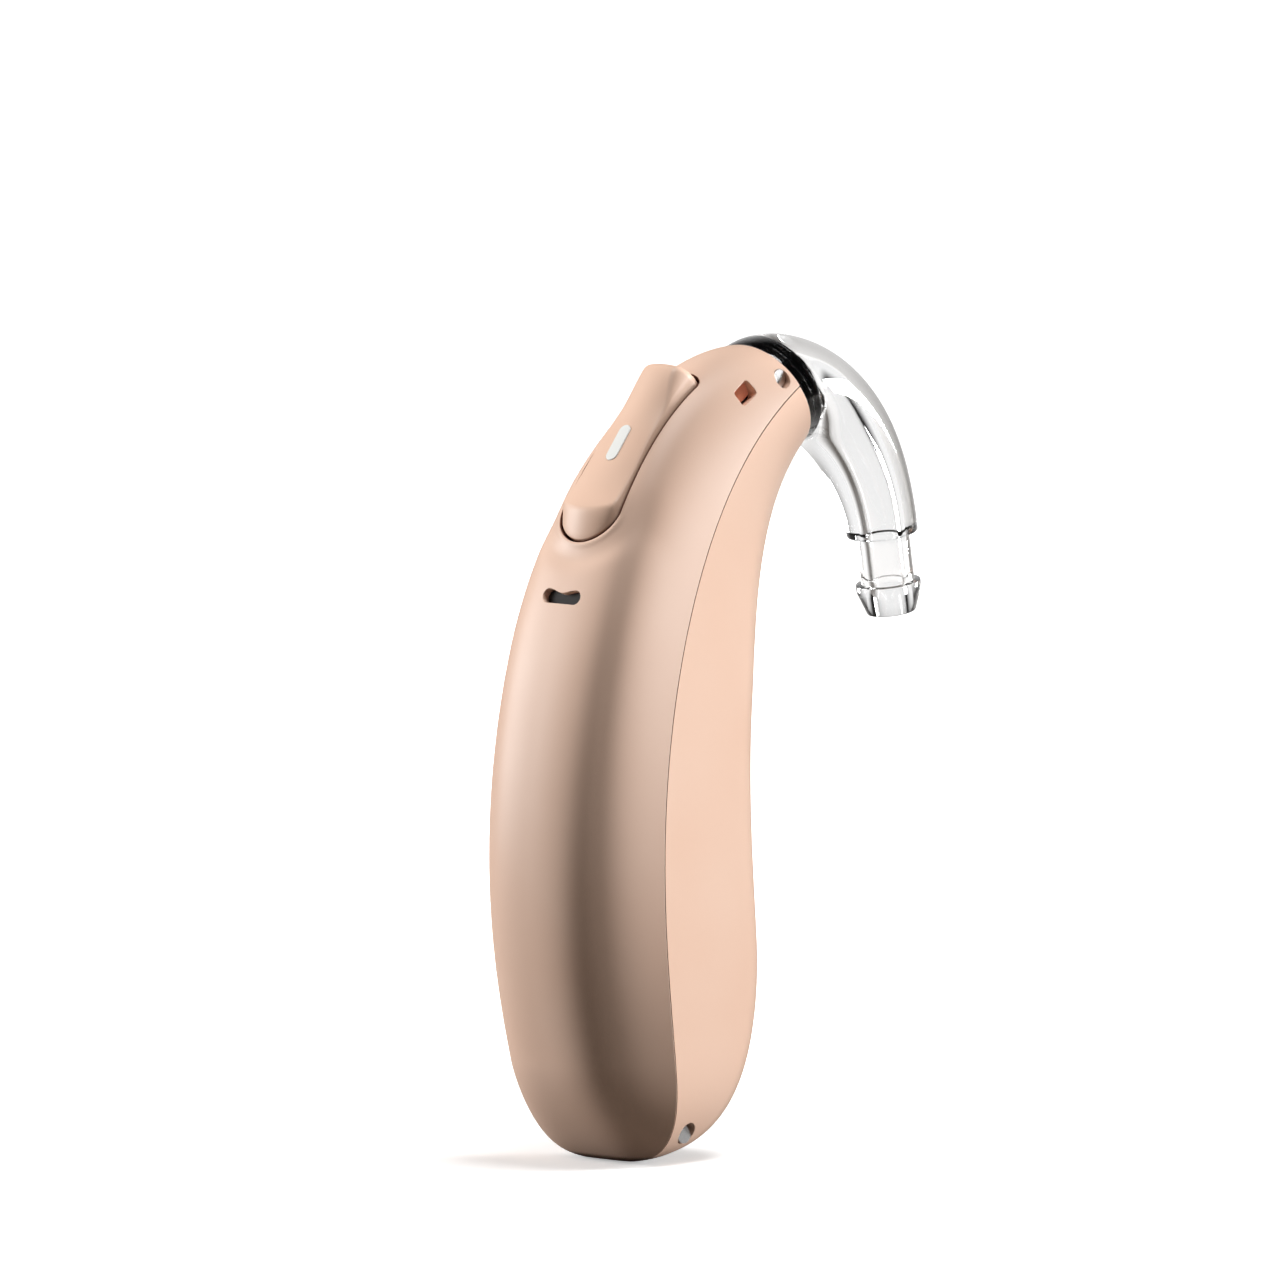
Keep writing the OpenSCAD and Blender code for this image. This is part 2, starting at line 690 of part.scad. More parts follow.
module switch_board() {
    color("#2f6b45") in_rocker() block(
        [-switch_x - switch_l / 2 - 0.1 * switch_l, -switch_w / 2, deck_z],
        [switch_x + switch_l / 2 + 0.1 * switch_l, switch_w / 2, board_top_z]
    );
}
module dome_switch(side) {
    in_rocker() translate([side * switch_x, 0, board_top_z]) {
        block([-switch_l / 2, -switch_w / 2, 0], [switch_l / 2, switch_w / 2, switch_h]);
        translate([0, 0, switch_h])
            cylinder(h = dome_h, r1 = dome_share[0] * switch_l, r2 = dome_share[1] * switch_l);
    }
}
module volume_up_switch() {
    color("#c9ccd1") dome_switch(1);
}
module volume_down_switch() {
    color("#c9ccd1") dome_switch(-1);
}
module status_led() {
    color("#e9f2e4") in_rocker() block(
        [leg_x - led_l / 2, -led_w / 2, board_top_z],
        [leg_x + led_l / 2, led_w / 2, board_top_z + led_h]
    );
}

// Rear microphone behind the slot on the crest
module mic_gasket_block(length, width, depth) {
    difference() {
        block([0, -width / 2, -length / 2], [depth, width / 2, length / 2]);
        block(
            [gasket_wall, -width / 2 + gasket_wall, -length / 2 + gasket_wall],
            [depth + cut_over, width / 2 - gasket_wall, length / 2 - gasket_wall]
        );
        children();
    }
}
module rear_mic_gasket() {
    color("#3a3a3c") at_side(rear_mic_share, rear_mic_a)
        mic_gasket_block(mic_l + 2 * gasket_wall, mic_w + 2 * gasket_wall, gasket_wall + mic_t)
            translate([-cut_over, 0, 0]) rotate([0, 90, 0])
                cylinder(h = cut_over + 2 * gasket_wall, r = duct_r);
}
module mic_block() {
    block(
        [gasket_wall + seat / 2, -mic_w / 2 + seat, -mic_l / 2 + seat],
        [gasket_wall + mic_t, mic_w / 2 - seat, mic_l / 2 - seat]
    );
}
module rear_microphone() {
    color("#c2a35a") at_side(rear_mic_share, rear_mic_a) mic_block();
}
module rear_mic_screen() {
    color("#2b2726") at_side(
        rear_mic_share, -spine_at(rear_mic_share, 0) + screen_depth_share * wall
    ) slot_prism(seat, screen_t);
}

// Front microphone between the two ports near the neck
module at_front_mic() {
    at_joint() translate([-front_mic_top, 0, -front_mic_back]) children();
}
module front_mic_gasket() {
    color("#3a3a3c") at_front_mic()
        mic_gasket_block(mic_l + 2 * gasket_wall, mic_w + 2 * gasket_wall, gasket_wall + mic_t)
            translate([gasket_wall, 0, 0]) across(2 * duct_r, 3 * mic_w);
}
module front_microphone() {
    color("#c2a35a") at_front_mic() mic_block();
}
port_screen_y = 2;
module front_mic_screens() {
    color("#6d4c3a") for (side = [-1, 1]) intersection() {
        port_cut(seat);
        at_joint() translate([-port_rise, side * port_screen_y, -port_back])
            cube([2 * port_w, screen_t, 2 * port_l], center = true);
    }
}

module receiver() {
    color("#c6c8cc") in_rocker() difference() {
        union() {
            block(
                [receiver_low_x, -receiver_w / 2, receiver_low_z],
                [receiver_high_x, receiver_w / 2, receiver_top_z]
            );
            translate([receiver_high_x, 0, spout_z]) rotate([0, 90, 0])
                cylinder(h = spout_l, r = spout_r);
        }
        translate([receiver_high_x, 0, spout_z]) rotate([0, 90, 0])
            cylinder(h = spout_l + cut_over, r = spout_bore_r);
    }
}
module receiver_boot() {
    color("#55585c") in_rocker() difference() {
        block(
            [receiver_low_x - boot_wall, -receiver_w / 2 - boot_wall, receiver_low_z - boot_wall],
            [receiver_high_x + boot_wall, receiver_w / 2 + boot_wall, receiver_top_z + boot_wall]
        );
        block(
            [receiver_low_x, -receiver_w / 2, receiver_low_z],
            [receiver_high_x, receiver_w / 2, receiver_top_z]
        );
        translate([receiver_high_x, 0, spout_z]) rotate([0, 90, 0])
            cylinder(h = 2 * boot_wall, r = spout_r + seat);
    }
}

// Soft tube from the receiver's spout to the collar, in the side view of the whole part
tube_handle = 1.1;
tube_steps = 14;
tube_sides = 16;
function from_rocker(x, z) = rocker_mid + turn([x, z], rocker_deg);
tube_from = from_rocker(receiver_high_x + boot_wall + seat, spout_z);
tube_to = joint - (collar_in + seat) * seam_dir(1);
tube_line = [
    tube_from, tube_from + tube_handle * [cos(rocker_deg), sin(rocker_deg)],
    tube_to - tube_handle * seam_dir(1), tube_to
];
function tube_point(t) = bernstein(tube_line, t);
function tube_dir(t) =
    let (d = bernstein([for (i = [0 : 2]) tube_line[i + 1] - tube_line[i]], t)) d / norm(d);
module tube_sweep(r, over) {
    t_list = [for (k = [0 : tube_steps]) k / tube_steps];
    ends = [-over * tube_dir(0), over * tube_dir(1)];
    swept(
        [for (t = t_list) tube_point(t) + (t == 0 ? ends[0] : t == 1 ? ends[1] : [0, 0])],
        [for (t = t_list) tube_dir(t)], [for (t = t_list) r], tube_sides
    );
}
module receiver_tube() {
    color("#8a8d91") difference() {
        tube_sweep(tube_r, 0);
        tube_sweep(tube_bore_r, seat);
    }
}

module hook_collar() {
    pitch = collar_out / rib_count;
    ribs = [
        for (k = [0 : rib_count - 1]) each [
            [rib_r - rib_depth, pitch * k], [rib_r - rib_depth, pitch * (k + 0.3)],
            [rib_r, pitch * (k + 0.45)], [rib_r, pitch * (k + 0.85)]
        ]
    ];
    color("#2b2c2e") difference() {
        at_joint() rotate_extrude() polygon(concat(
            [
                [collar_bore_r, -collar_in - nipple_l], [nipple_r, -collar_in - nipple_l],
                [nipple_r, -collar_in], [collar_r, -collar_in], [collar_r, 0]
            ],
            ribs,
            [[rib_r - rib_depth, collar_out], [2 * collar_bore_r, collar_out], [collar_bore_r, 0]]
        ));
        collar_pin_bore(collar_pin_d + 2 * seat, 4 * neck_r);
    }
}
module collar_pin() {
    color("#d7d8da") collar_pin_bore(collar_pin_d, 2 * (neck_r - collar_pin_recess));
}
module base_pin() {
    color("#d7d8da") base_pin_bore(base_pin_d, 2 * wide_half);
}

module ear_hook() {
    t_list = [for (k = [0 : hook_rings]) k / hook_rings];
    bore_list = [for (k = [0 : hook_rings]) lerp(funnel_low_share, 1, k / hook_rings)];
    color("#eef1f2", 0.5) difference() {
        union() {
            swept(
                [for (t = t_list) hook_point(t) + (t == 0 ? seat * hook_dir(0) : [0, 0])],
                [for (t = t_list) hook_dir(t)], [for (t = t_list) hook_r(t)], hook_sides
            );
            at_tip() rotate_extrude() polygon([
                [0, -tip_root], [tip_neck_r, -tip_root], [tip_neck_r, tip_neck_len],
                [barb_r - barb_lip, tip_neck_len], [barb_r, tip_neck_len + barb_lip],
                [barb_r, tip_neck_len + barb_lip + barb_land], [barb_end_r, tip_len], [0, tip_len]
            ]);
        }
        at_joint() translate([0, 0, -cut_over]) cylinder(h = socket_l + cut_over, r = socket_r);
        swept(
            [for (t = bore_list) hook_point(t)], [for (t = bore_list) hook_dir(t)],
            [for (t = bore_list) hook_bore_r(t)], bore_sides
        );
        at_tip() translate([0, 0, -tip_root]) cylinder(h = tip_root + tip_len + cut_over, d = bore_d);
    }
}

// Moulded frame that carries everything inside the shells
chassis_low_share = 0.03;
chassis_high_share = 0.95;
collar_space = 0.08;
coil_d = 1.1;
coil_l = 4.6;
coil_x = -3.2;
coil_space = 0.05;
coil_z = receiver_low_z - boot_wall - coil_d / 2 - 6 * coil_space;
tube_space = 0.25;
module chassis() {
    color("#8d9298") difference() {
        union() {
            difference() {
                plate_xz(
                    concat(
                        spine_line(chassis_low_share, chassis_high_share, 0),
                        front_line(chassis_low_share, chassis_high_share, 0)
                    ),
                    -chassis_w / 2, chassis_w / 2
                );
                in_rocker() block(
                    [-rocker_len / 2, -half_w, deck_z],
                    [switch_x + switch_l / 2 + deck_run, half_w, 2 * neck_r]
                );
            }
            in_rocker() for (side = [-1, 1]) {
                y = side * (hub_w / 2 + hub_gap + ear_t / 2);
                block([-ear_r, y - ear_t / 2, deck_z - seat], [ear_r, y + ear_t / 2, axle_z]);
                translate([0, y, axle_z]) across(2 * ear_r, ear_t);
            }
        }
        in_rocker() {
            translate([0, 0, axle_z]) across(axle_d, 2 * chassis_w);
            block(
                [
                    receiver_low_x - boot_wall - seat, -half_w,
                    receiver_low_z - boot_wall - seat
                ],
                [receiver_high_x + boot_wall + seat, half_w, receiver_top_z + boot_wall + seat]
            );
            block(
                [receiver_high_x + boot_wall, -half_w, spout_z - tube_r - 2 * tube_space],
                [rocker_len, half_w, deck_low_z - seat]
            );
            block(
                [coil_x - coil_l / 2 - coil_space, -half_w, coil_z - coil_d / 2 - coil_space],
                [coil_x + coil_l / 2 + coil_space, half_w, coil_z + coil_d / 2 + coil_space]
            );
        }
        at_front_mic() block(
            [-neck_r, -half_w, -mic_l / 2 - gasket_wall - seat],
            [gasket_wall + mic_t + seat, half_w, 2 * neck_r]
        );
        at_joint() translate([0, 0, -collar_in - collar_space])
            block([-3 * neck_r, -half_w, 0], [3 * neck_r, half_w, 3 * neck_r]);
        at_side(rear_mic_share, rear_mic_a) block(
            [-neck_r, -half_w, -mic_l / 2 - gasket_wall - seat],
            [gasket_wall + mic_t + seat, half_w, mic_l / 2 + gasket_wall + seat]
        );
        translate([base_x + cell_x, 0, cell_z]) across(cell_d + 2 * seat, 2 * chassis_w);
        plate_xz(
            concat(
                spine_line(bay_low_share, bay_high_share, -bay_rail),
                front_line(bay_low_share, bay_high_share, bay_rail)
            ),
            -chassis_w, chassis_w
        );
        base_pin_bore(base_pin_d + 2 * seat, 4 * half_w);
    }
}

board_edge = 0.3;
board_lift = 1.03;
board_low_share = share_at(cell_high_z + board_lift);
board_high_share = 0.6;
board_l = norm(seam(board_high_share) - seam(board_low_share));
board_y = -chassis_w / 2;
module main_board() {
    color("#1f5a3c") plate_xz(
        concat(
            spine_line(board_low_share, board_high_share, -board_edge),
            front_line(board_low_share, board_high_share, board_edge)
        ),
        board_y - board_t, board_y
    );
}
// Chips lie flat on the board: place and height as shares of its run, then depth and thickness
dsp_share = [0.608, 0.316];
radio_share = [0.255, 0.242];
power_share = [0.412, 0.205];
chip_a = 1.2;
dsp_size = [4.2, 1.1];
radio_size = [3.2, 0.9];
power_size = [2.6, 0.6];
module chip(share, size) {
    chip_h = share[1] * board_l;
    at_side(lerp(board_low_share, board_high_share, share[0]), chip_a)
        translate([-size[0] / 2, 0, -chip_h / 2]) cube([size[0], size[1], chip_h]);
}
module signal_processor() {
    color("#17181a") translate([0, board_y, 0]) chip(dsp_share, dsp_size);
}
module radio_module() {
    color("#8f9296") translate([0, board_y, 0]) chip(radio_share, radio_size);
}
module power_module() {
    color("#202124") translate([0, board_y - board_t, 0]) mirror([0, 1, 0])
        chip(power_share, power_size);
}
antenna_lift = 0.83;
antenna_low_share = share_at(cell_high_z + antenna_lift);
antenna_high_share = 0.6;
antenna_edge = 0.4;
antenna_w = chassis_w - 2 * antenna_edge;
module antenna() {
    color("#c98a3c") plate_xz(
        concat(
            spine_line(antenna_low_share, antenna_high_share, flex_t),
            reversed(spine_line(antenna_low_share, antenna_high_share, seat / 2))
        ),
        -antenna_w / 2, antenna_w / 2
    );
}
module telecoil() {
    color("#b5672d") in_rocker() translate([coil_x - coil_l / 2, 0, coil_z]) rotate([0, 90, 0])
        cylinder(h = coil_l, d = coil_d);
}

module battery_cell() {
    color("#cfd1d4") translate([base_x + cell_x, 0, cell_z]) across(cell_d, cell_t);
}
module battery_tab(side, foot_y) {
    tab_high = cell_high_z + tab_rise_share * board_l;
    tab_y = cell_t / 2 + tab_t;
    mirror([0, side < 0 ? 1 : 0, 0]) translate([base_x + cell_x, 0, 0]) {
        block([-tab_w / 2, cell_t / 2, cell_z - tab_w], [tab_w / 2, tab_y, tab_high]);
        block([-tab_w / 2, foot_y, tab_high - tab_t], [tab_w / 2, tab_y, tab_high]);
    }
}
module battery_tab_left() {
    color("#d9dadb") battery_tab(1, chassis_w / 2);
}
module battery_tab_right() {
    color("#d9dadb") battery_tab(-1, chassis_w / 2 + board_t);
}

module charge_contacts() {
    color("#d8b45a") for (t = contact_share) {
        inner = front_at(t, wall) + 5 * seat;
        at_side(t, inner) rotate([0, 90, 0])
            cylinder(h = front_at(t, 0) + contact_proud - inner, d = contact_d);
    }
}
module charge_flex() {
    color("#b0703a") plate_xz(
        concat(
            contact_line(flex_low_share, flex_high_share, 0),
            reversed(contact_line(flex_low_share, flex_high_share, flex_t))
        ),
        -flex_w / 2, flex_w / 2
    );
}

spine_shell();
front_shell();
seam_gasket();
rocker_button();
status_lens();
rocker_axle();
switch_board();
volume_up_switch();
volume_down_switch();
status_led();
rear_microphone();
rear_mic_gasket();
rear_mic_screen();
front_microphone();
front_mic_gasket();
front_mic_screens();
receiver();
receiver_boot();
receiver_tube();
hook_collar();
collar_pin();
ear_hook();
base_pin();
chassis();
main_board();
signal_processor();
radio_module();
power_module();
antenna();
telecoil();
battery_cell();
battery_tab_left();
battery_tab_right();
charge_contacts();
charge_flex();
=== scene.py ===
import math

import bpy
import numpy as np
from mathutils import Matrix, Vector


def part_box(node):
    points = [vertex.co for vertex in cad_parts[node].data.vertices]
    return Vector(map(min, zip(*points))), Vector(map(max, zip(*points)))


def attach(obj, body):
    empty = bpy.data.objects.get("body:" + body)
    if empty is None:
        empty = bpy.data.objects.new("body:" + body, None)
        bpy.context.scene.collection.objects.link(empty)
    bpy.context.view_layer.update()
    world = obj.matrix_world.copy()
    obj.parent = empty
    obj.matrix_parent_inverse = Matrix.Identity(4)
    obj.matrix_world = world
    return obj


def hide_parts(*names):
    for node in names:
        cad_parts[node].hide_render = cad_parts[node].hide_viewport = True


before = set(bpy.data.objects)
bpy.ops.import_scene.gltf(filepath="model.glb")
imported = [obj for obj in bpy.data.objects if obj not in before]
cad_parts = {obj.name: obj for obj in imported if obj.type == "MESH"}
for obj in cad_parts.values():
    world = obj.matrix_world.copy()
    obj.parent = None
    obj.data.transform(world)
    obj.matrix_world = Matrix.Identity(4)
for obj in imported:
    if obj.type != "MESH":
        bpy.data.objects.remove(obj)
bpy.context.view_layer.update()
mm = 0.001
print("frame loaded:", len(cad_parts), "nodes")

# Driving sizes of the housing in millimetres, with the same curves as the construction
housing = {
    "seamHeight": 37.3,
    "spineDepth": 6.2,
    "frontDepth": 8.8,
    "halfWidth": 4.7,
    "neckRadius": 3.0,
    "neckDrop": 0.8,
    "wall": 0.8,
    "seamGap": 0.06,
    "roundSpine": 5.4,
    "roundFront": 11.1,
    "roundFlank": 5.8,
    "frontEdge": 2.2,
    "seamX": [0, -0.003, -0.079, -0.013, 0.098, 0.2895],
    "seamZ": [0, 0.234, 0.385, 0.688, 0.8975, 1],
    "spineShares": [0.504, 0.733, 1.04, 0.699, 0.9385, 1.01],
    "frontShares": [0.825, 0.951, 1, 0.908, 0.76, 0.673],
    "widthShares": [0.995, 1, 0.981, 0.912, 0.798, 0.658],
    "powers": {"spine": 1.754, "front": 2.5, "flank": 3.35},
    "corner": [0.68, 0.72, 0.88, 1.25, 1.1],
    "handle": [0.72, 0.72, 0.74, 0.92, 0.855],
    "crease": [0.55, 0.12, 0.03, 0.04, 0.04],
    "neckBlend": 0.585,
    "edgeRound": 0.03,
}


def bernstein(values, t):
    # Sum of values[i] * C(n, i) * t^i * (1 - t)^(n - i)
    values = np.asarray(values, float)
    t = np.asarray(t, float)
    n = len(values) - 1
    weights = [math.comb(n, i) * t**i * (1 - t) ** (n - i) for i in range(n + 1)]
    if values.ndim == 1:
        return sum(w * v for w, v in zip(weights, values))
    return sum(w[..., None] * v for w, v in zip(weights, values))


def smoothStep(low, high, x):
    # 3x^2 - 2x^3 between the two limits
    x = np.clip((np.asarray(x, float) - low) / (high - low), 0, 1)
    return x * x * (3 - 2 * x)


def unit(v):
    return v / np.maximum(np.linalg.norm(v, axis=-1, keepdims=True), 1e-12)


def bell(x, centre, width):
    # Gaussian of unit height
    return np.exp(-(((x - centre) / width) ** 2))


linePoints = housing["seamHeight"] * np.column_stack([housing["seamX"], housing["seamZ"]])
spinePoints = [housing["spineDepth"] * s for s in housing["spineShares"]]
spinePoints.append(housing["neckRadius"] - housing["neckDrop"])
frontPoints = [housing["frontDepth"] * s for s in housing["frontShares"]]
frontPoints.append(housing["neckRadius"] + housing["neckDrop"])
widthPoints = [housing["halfWidth"] * s for s in housing["widthShares"]] + [housing["neckRadius"]]


def lineAt(t):
    return bernstein(linePoints, t)


def lineDirection(t):
    return unit(bernstein(np.diff(linePoints, axis=0), t))


def forwardAt(t):
    # The line's direction turned by a quarter
    d = lineDirection(t)
    return np.stack([d[..., 1], -d[..., 0]], axis=-1)


def baseRound(height, length, power):
    # Superellipse quarter (1 - (1 - h / L)^p)^(1 / p) that closes the base
    x = np.clip(1 - np.maximum(height, 0) / length, 0, 1)
    return (1 - x**power) ** (1 / power)


def depths(t, inset):
    # Spine depth, front depth and half width of the surface that lies inset inside the outer one
    h = np.linalg.norm(lineAt(t), axis=-1) - inset
    p = housing["powers"]
    spine = (bernstein(spinePoints, t) - inset) * baseRound(h, housing["roundSpine"] - inset, p["spine"])
    front = (bernstein(frontPoints, t) - inset) * baseRound(h, housing["roundFront"] - inset, p["front"])
    width = (bernstein(widthPoints, t) - inset) * baseRound(h, housing["roundFlank"] - inset, p["flank"])
    return spine, front, width


def cubic(points, u):
    # Bezier curve whose four points are pairs of arrays
    w = [(1 - u) ** 3, 3 * u * (1 - u) ** 2, 3 * u * u * (1 - u), u**3]
    return [sum(w[i] * points[i][k] for i in range(4)) for k in (0, 1)]


def spineSection(t, inset, u):
    # Bezier from the crest at u 0 to the seam at u 1
    a, _, w = depths(t, inset)
    k, h, g = (bernstein(housing[n], t) for n in ("corner", "handle", "crease"))
    return cubic([(-a, 0 * a), (-a, k * w), (-h * a, w - h * a * g), (0 * a, w)], u)


def frontSection(t, inset, u):
    # A flat flank from the seam at u 0, then a Bezier round the front edge to u 1
    _, b, w = depths(t, inset)
    flat = 0.3
    handle = 0.6
    q = np.minimum(housing["frontEdge"], 0.8 * b)
    v = np.clip((u - flat) / (1 - flat), 0, 1)
    x, y = cubic([(b - q, w), (b - q + handle * q, w), (b, handle * w), (b, 0 * w)], v)
    return [np.where(u < flat, (b - q) * u / flat, x), np.where(u < flat, w, y)]


def roundSection(t, inset, u, onSpine):
    # The circle that every section turns into at the neck
    a, b, w = depths(t, inset)
    c, r = (b - a) / 2, (a + b) / 2
    seamAngle = np.arccos(np.clip(-c / np.maximum(r, 0.03), -1, 1))
    angle = math.pi + (seamAngle - math.pi) * u if onSpine else seamAngle * (1 - u)
    return [c + r * np.cos(angle), w * np.sin(angle)]


def shellBase(t, v, inset, onSpine):
    # Point of the shell: v runs from -1 at one seam to 1 at the other, through the crest or the front
    u = np.abs(v) if onSpine else 1 - np.abs(v)
    flat = spineSection(t, inset, u) if onSpine else frontSection(t, inset, 1 - np.abs(v))
    ring = roundSection(t, inset, u, onSpine)
    m = smoothStep(housing["neckBlend"], 1, t)
    along = m * ring[0] + (1 - m) * flat[0]
    side = m * ring[1] + (1 - m) * flat[1]
    gap = housing["seamGap"] / 2 + housing["edgeRound"]
    near = np.clip(np.hypot(along, side) / (4 * gap), 0, 1)
    pull = (-1 if onSpine else 1) * gap * near * np.abs(v)
    p = lineAt(t) + (along + pull)[..., None] * forwardAt(t)
    return np.stack([p[..., 0] + baseX, np.sign(v) * side, p[..., 1]], axis=-1)


# The housing's place along X comes from the box of the spine shell
baseX = 0.0
samples = np.linspace(0.02, 1, 400)
crestLine = lineAt(samples) - depths(samples, 0)[0][:, None] * forwardAt(samples)
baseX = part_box("spine_shell")[0][0] / mm - crestLine[:, 0].min()


def sidePoint(t, a):
    # Point in the side view at distance a ahead of the seam
    p = lineAt(np.asarray(float(t))) + a * forwardAt(np.asarray(float(t)))
    return p + np.array([baseX, 0])


# Frames of the rocker and of the hook joint, each as an origin and two directions in the XZ plane
rocker = {
    "lowShare": 0.692,
    "highShare": 0.909,
    "lowRadius": 1.85,
    "highHalf": 1.45,
    "cornerRadius": 0.75,
    "gap": 0.16,
    "skirt": 0.9,
    "ridgeBow": 0.2,
    "lowRise": 0.16,
    "highRise": 0.12,
    "humpLength": 0.9,
    "humpRound": 0.45,
    "sideRound": 0.16,
    "ridgeLow": (-3.95, 0.8),
    "ridgeHigh": (4.42, 1.42),
    "saddle": 1.1,
    "lightLength": 2.1,
    "lightWidth": 0.68,
}
rockerEnds = [sidePoint(rocker[k], -depths(np.asarray(rocker[k]), 0)[0]) for k in ("lowShare", "highShare")]
rockerMid = (rockerEnds[0] + rockerEnds[1]) / 2
rockerLength = float(np.linalg.norm(rockerEnds[1] - rockerEnds[0]))
rockerAlong = (rockerEnds[1] - rockerEnds[0]) / rockerLength
rockerOut = np.array([-rockerAlong[1], rockerAlong[0]])
jointPoint = sidePoint(1, housing["neckDrop"])
jointAlong = lineDirection(np.asarray(1.0))
jointUp = np.array([-jointAlong[1], jointAlong[0]])


def toRocker(p):
    # Points in the rocker's frame: along the opening, sideways, outwards
    d = p[..., [0, 2]] - rockerMid
    return np.stack([d @ rockerAlong, p[..., 1], d @ rockerOut], axis=-1)


def fromRocker(q):
    d = rockerMid + q[..., :1] * rockerAlong + q[..., 2:] * rockerOut
    return np.stack([d[..., 0], q[..., 1], d[..., 1]], axis=-1)


def capsuleDistance(x, y, halfLength, radius):
    # Signed distance to a capsule that lies along x
    return np.hypot(x - np.clip(x, -halfLength, halfLength), y) - radius


def openingDistance(x, y, grow=0.0):
    # Signed distance to the opening: a tapered stadium, round below and with two round corners above
    half = rockerLength / 2
    lowX, highX = -half + rocker["lowRadius"], half - rocker["cornerRadius"]
    slope = (rocker["lowRadius"] - rocker["highHalf"]) / (highX - lowX)
    edge = rocker["lowRadius"] - slope * (np.clip(x, lowX, highX) - lowX)
    side = (np.abs(y) - edge) / math.hypot(1, slope)
    low = np.hypot(x - lowX, y) - rocker["lowRadius"]
    cx, cy = x - highX, np.abs(y) - (rocker["highHalf"] - rocker["cornerRadius"])
    high = np.where(
        (cx > 0) & (cy > 0), np.hypot(cx, cy) - rocker["cornerRadius"], np.maximum(x - half, side)
    )
    return np.where(x < lowX, low, high) - grow


def rockerHole(p):
    q = toRocker(p)
    d = openingDistance(q[..., 0], q[..., 1])
    return np.where(q[..., 2] > -housing["neckRadius"], d, farAway)


def crossHole(x, z, radius):
    # A round hole that runs across the housing
    def distance(p):
        return np.hypot(p[..., 0] - x, p[..., 2] - z) - radius

    return distance


def portHole(p):
    # Rounded rectangle in the side view, square to the neck, kept to the flanks
    d = p[..., [0, 2]] - jointPoint
    x, y = -(d @ jointAlong) - port["back"], d @ jointUp - port["rise"]
    r = port["corner"]
    x, y = np.abs(x) - port["length"] / 2 + r, np.abs(y) - port["width"] / 2 + r
    return np.hypot(np.maximum(x, 0), np.maximum(y, 0)) + np.minimum(np.maximum(x, y), 0) - r


port = {"back": 3.27, "rise": 2.44, "length": 1.26, "width": 0.78, "corner": 0.18}
slot = {"share": 0.637, "length": 2.4, "width": 0.74, "dip": 0.2}
slotCentre = sidePoint(slot["share"], -depths(np.asarray(slot["share"]), 0)[0])
slotUp = lineDirection(np.asarray(slot["share"]))


def slotHole(p):
    # Bean-shaped slot: a capsule across the crest whose upper edge dips in the middle
    d = p[..., [0, 2]] - slotCentre
    z = d @ slotUp
    x = p[..., 1]
    lift = slot["dip"] * bell(x, 0, 0.55)
    half = (slot["length"] - slot["width"]) / 2
    upper = capsuleDistance(x, z + lift, half, slot["width"] / 2)
    return np.where(z > -lift / 2, upper, capsuleDistance(x, z, half, slot["width"] / 2))


pinHoles = {
    "collarBack": 0.69,
    "collarRise": 1.66,
    "collarRadius": 0.46,
    "baseX": 1.14,
    "baseZ": 1.52,
    "baseRadius": 0.53,
}
collarPin = jointPoint - pinHoles["collarBack"] * jointAlong + pinHoles["collarRise"] * jointUp
contactShares = (0.18, 0.28)
contactRadius = 0.78
farAway = 9.0  # the distance that a hole's law gives where the hole doesn't reach


def contactHole(share):
    centre = sidePoint(share, depths(np.asarray(share), 0)[1])
    up = lineDirection(np.asarray(share))
    ahead = forwardAt(np.asarray(share))

    def distance(p):
        d = p[..., [0, 2]] - centre
        return np.where(d @ ahead > -3, np.hypot(d @ up, p[..., 1]) - contactRadius, farAway)

    return distance


def spineRelief(p):
    # Height of the soft lip round the rocker's opening and of the dips beside it, along the normal
    q = toRocker(p)
    d = openingDistance(q[..., 0], q[..., 1])
    low = 1 - smoothStep(-4.2, -1.5, q[..., 0])
    lip = 0.06 * low * bell(d, 0.1, 0.16)
    dip = -0.08 * low * bell(d, 0.8, 0.5)
    return np.where(q[..., 2] > -housing["neckRadius"], lip + dip, 0)


def gridNormals(shape, t, v):
    # Cross product of the two central differences, turned outwards
    e = 2e-4
    t0, t1 = np.clip(t - e, 1e-6, 1), np.clip(t + e, 1e-6, 1)
    v0, v1 = np.clip(v - e, -1, 1), np.clip(v + e, -1, 1)
    n = np.cross(shape(t1, v) - shape(t0, v), shape(t, v1) - shape(t, v0))
    return unit(n)


def reliefShape(onSpine):
    # The outer surface with its relief
    def plain(t, v):
        return shellBase(t, v, 0, onSpine)

    if not onSpine:
        return plain

    def raised(t, v):
        p = plain(t, v)
        n = gridNormals(plain, t, v)
        n = n * np.sign(np.sum(n * (p - middle(t)), axis=-1, keepdims=True))
        return p + n * spineRelief(p)[..., None]

    return raised


def middle(t):
    # Points on the seam line, inside the housing
    p = lineAt(t)
    return np.stack([p[..., 0] + baseX, 0 * p[..., 0], p[..., 1]], axis=-1)


def innerShape(onSpine):
    # The inner surface, which starts one wall above the outer base
    start = housing["wall"] / np.linalg.norm(linePoints[1]) / 5

    def inner(t, v):
        return shellBase(np.minimum((t**3 + start**3) ** (1 / 3), 1), v, housing["wall"], onSpine)

    return inner


def gridLines(count, dense, centre, width):
    # Numbers from 0 to 1 whose spacing shrinks by 1 + dense round the centre
    x = np.linspace(0, 1, 2001)
    rate = 1 + dense * bell(x, centre, width)
    total = np.concatenate([[0], np.cumsum((rate[1:] + rate[:-1]) / 2)])
    return np.interp(np.linspace(0, total[-1], count + 1), total, x)


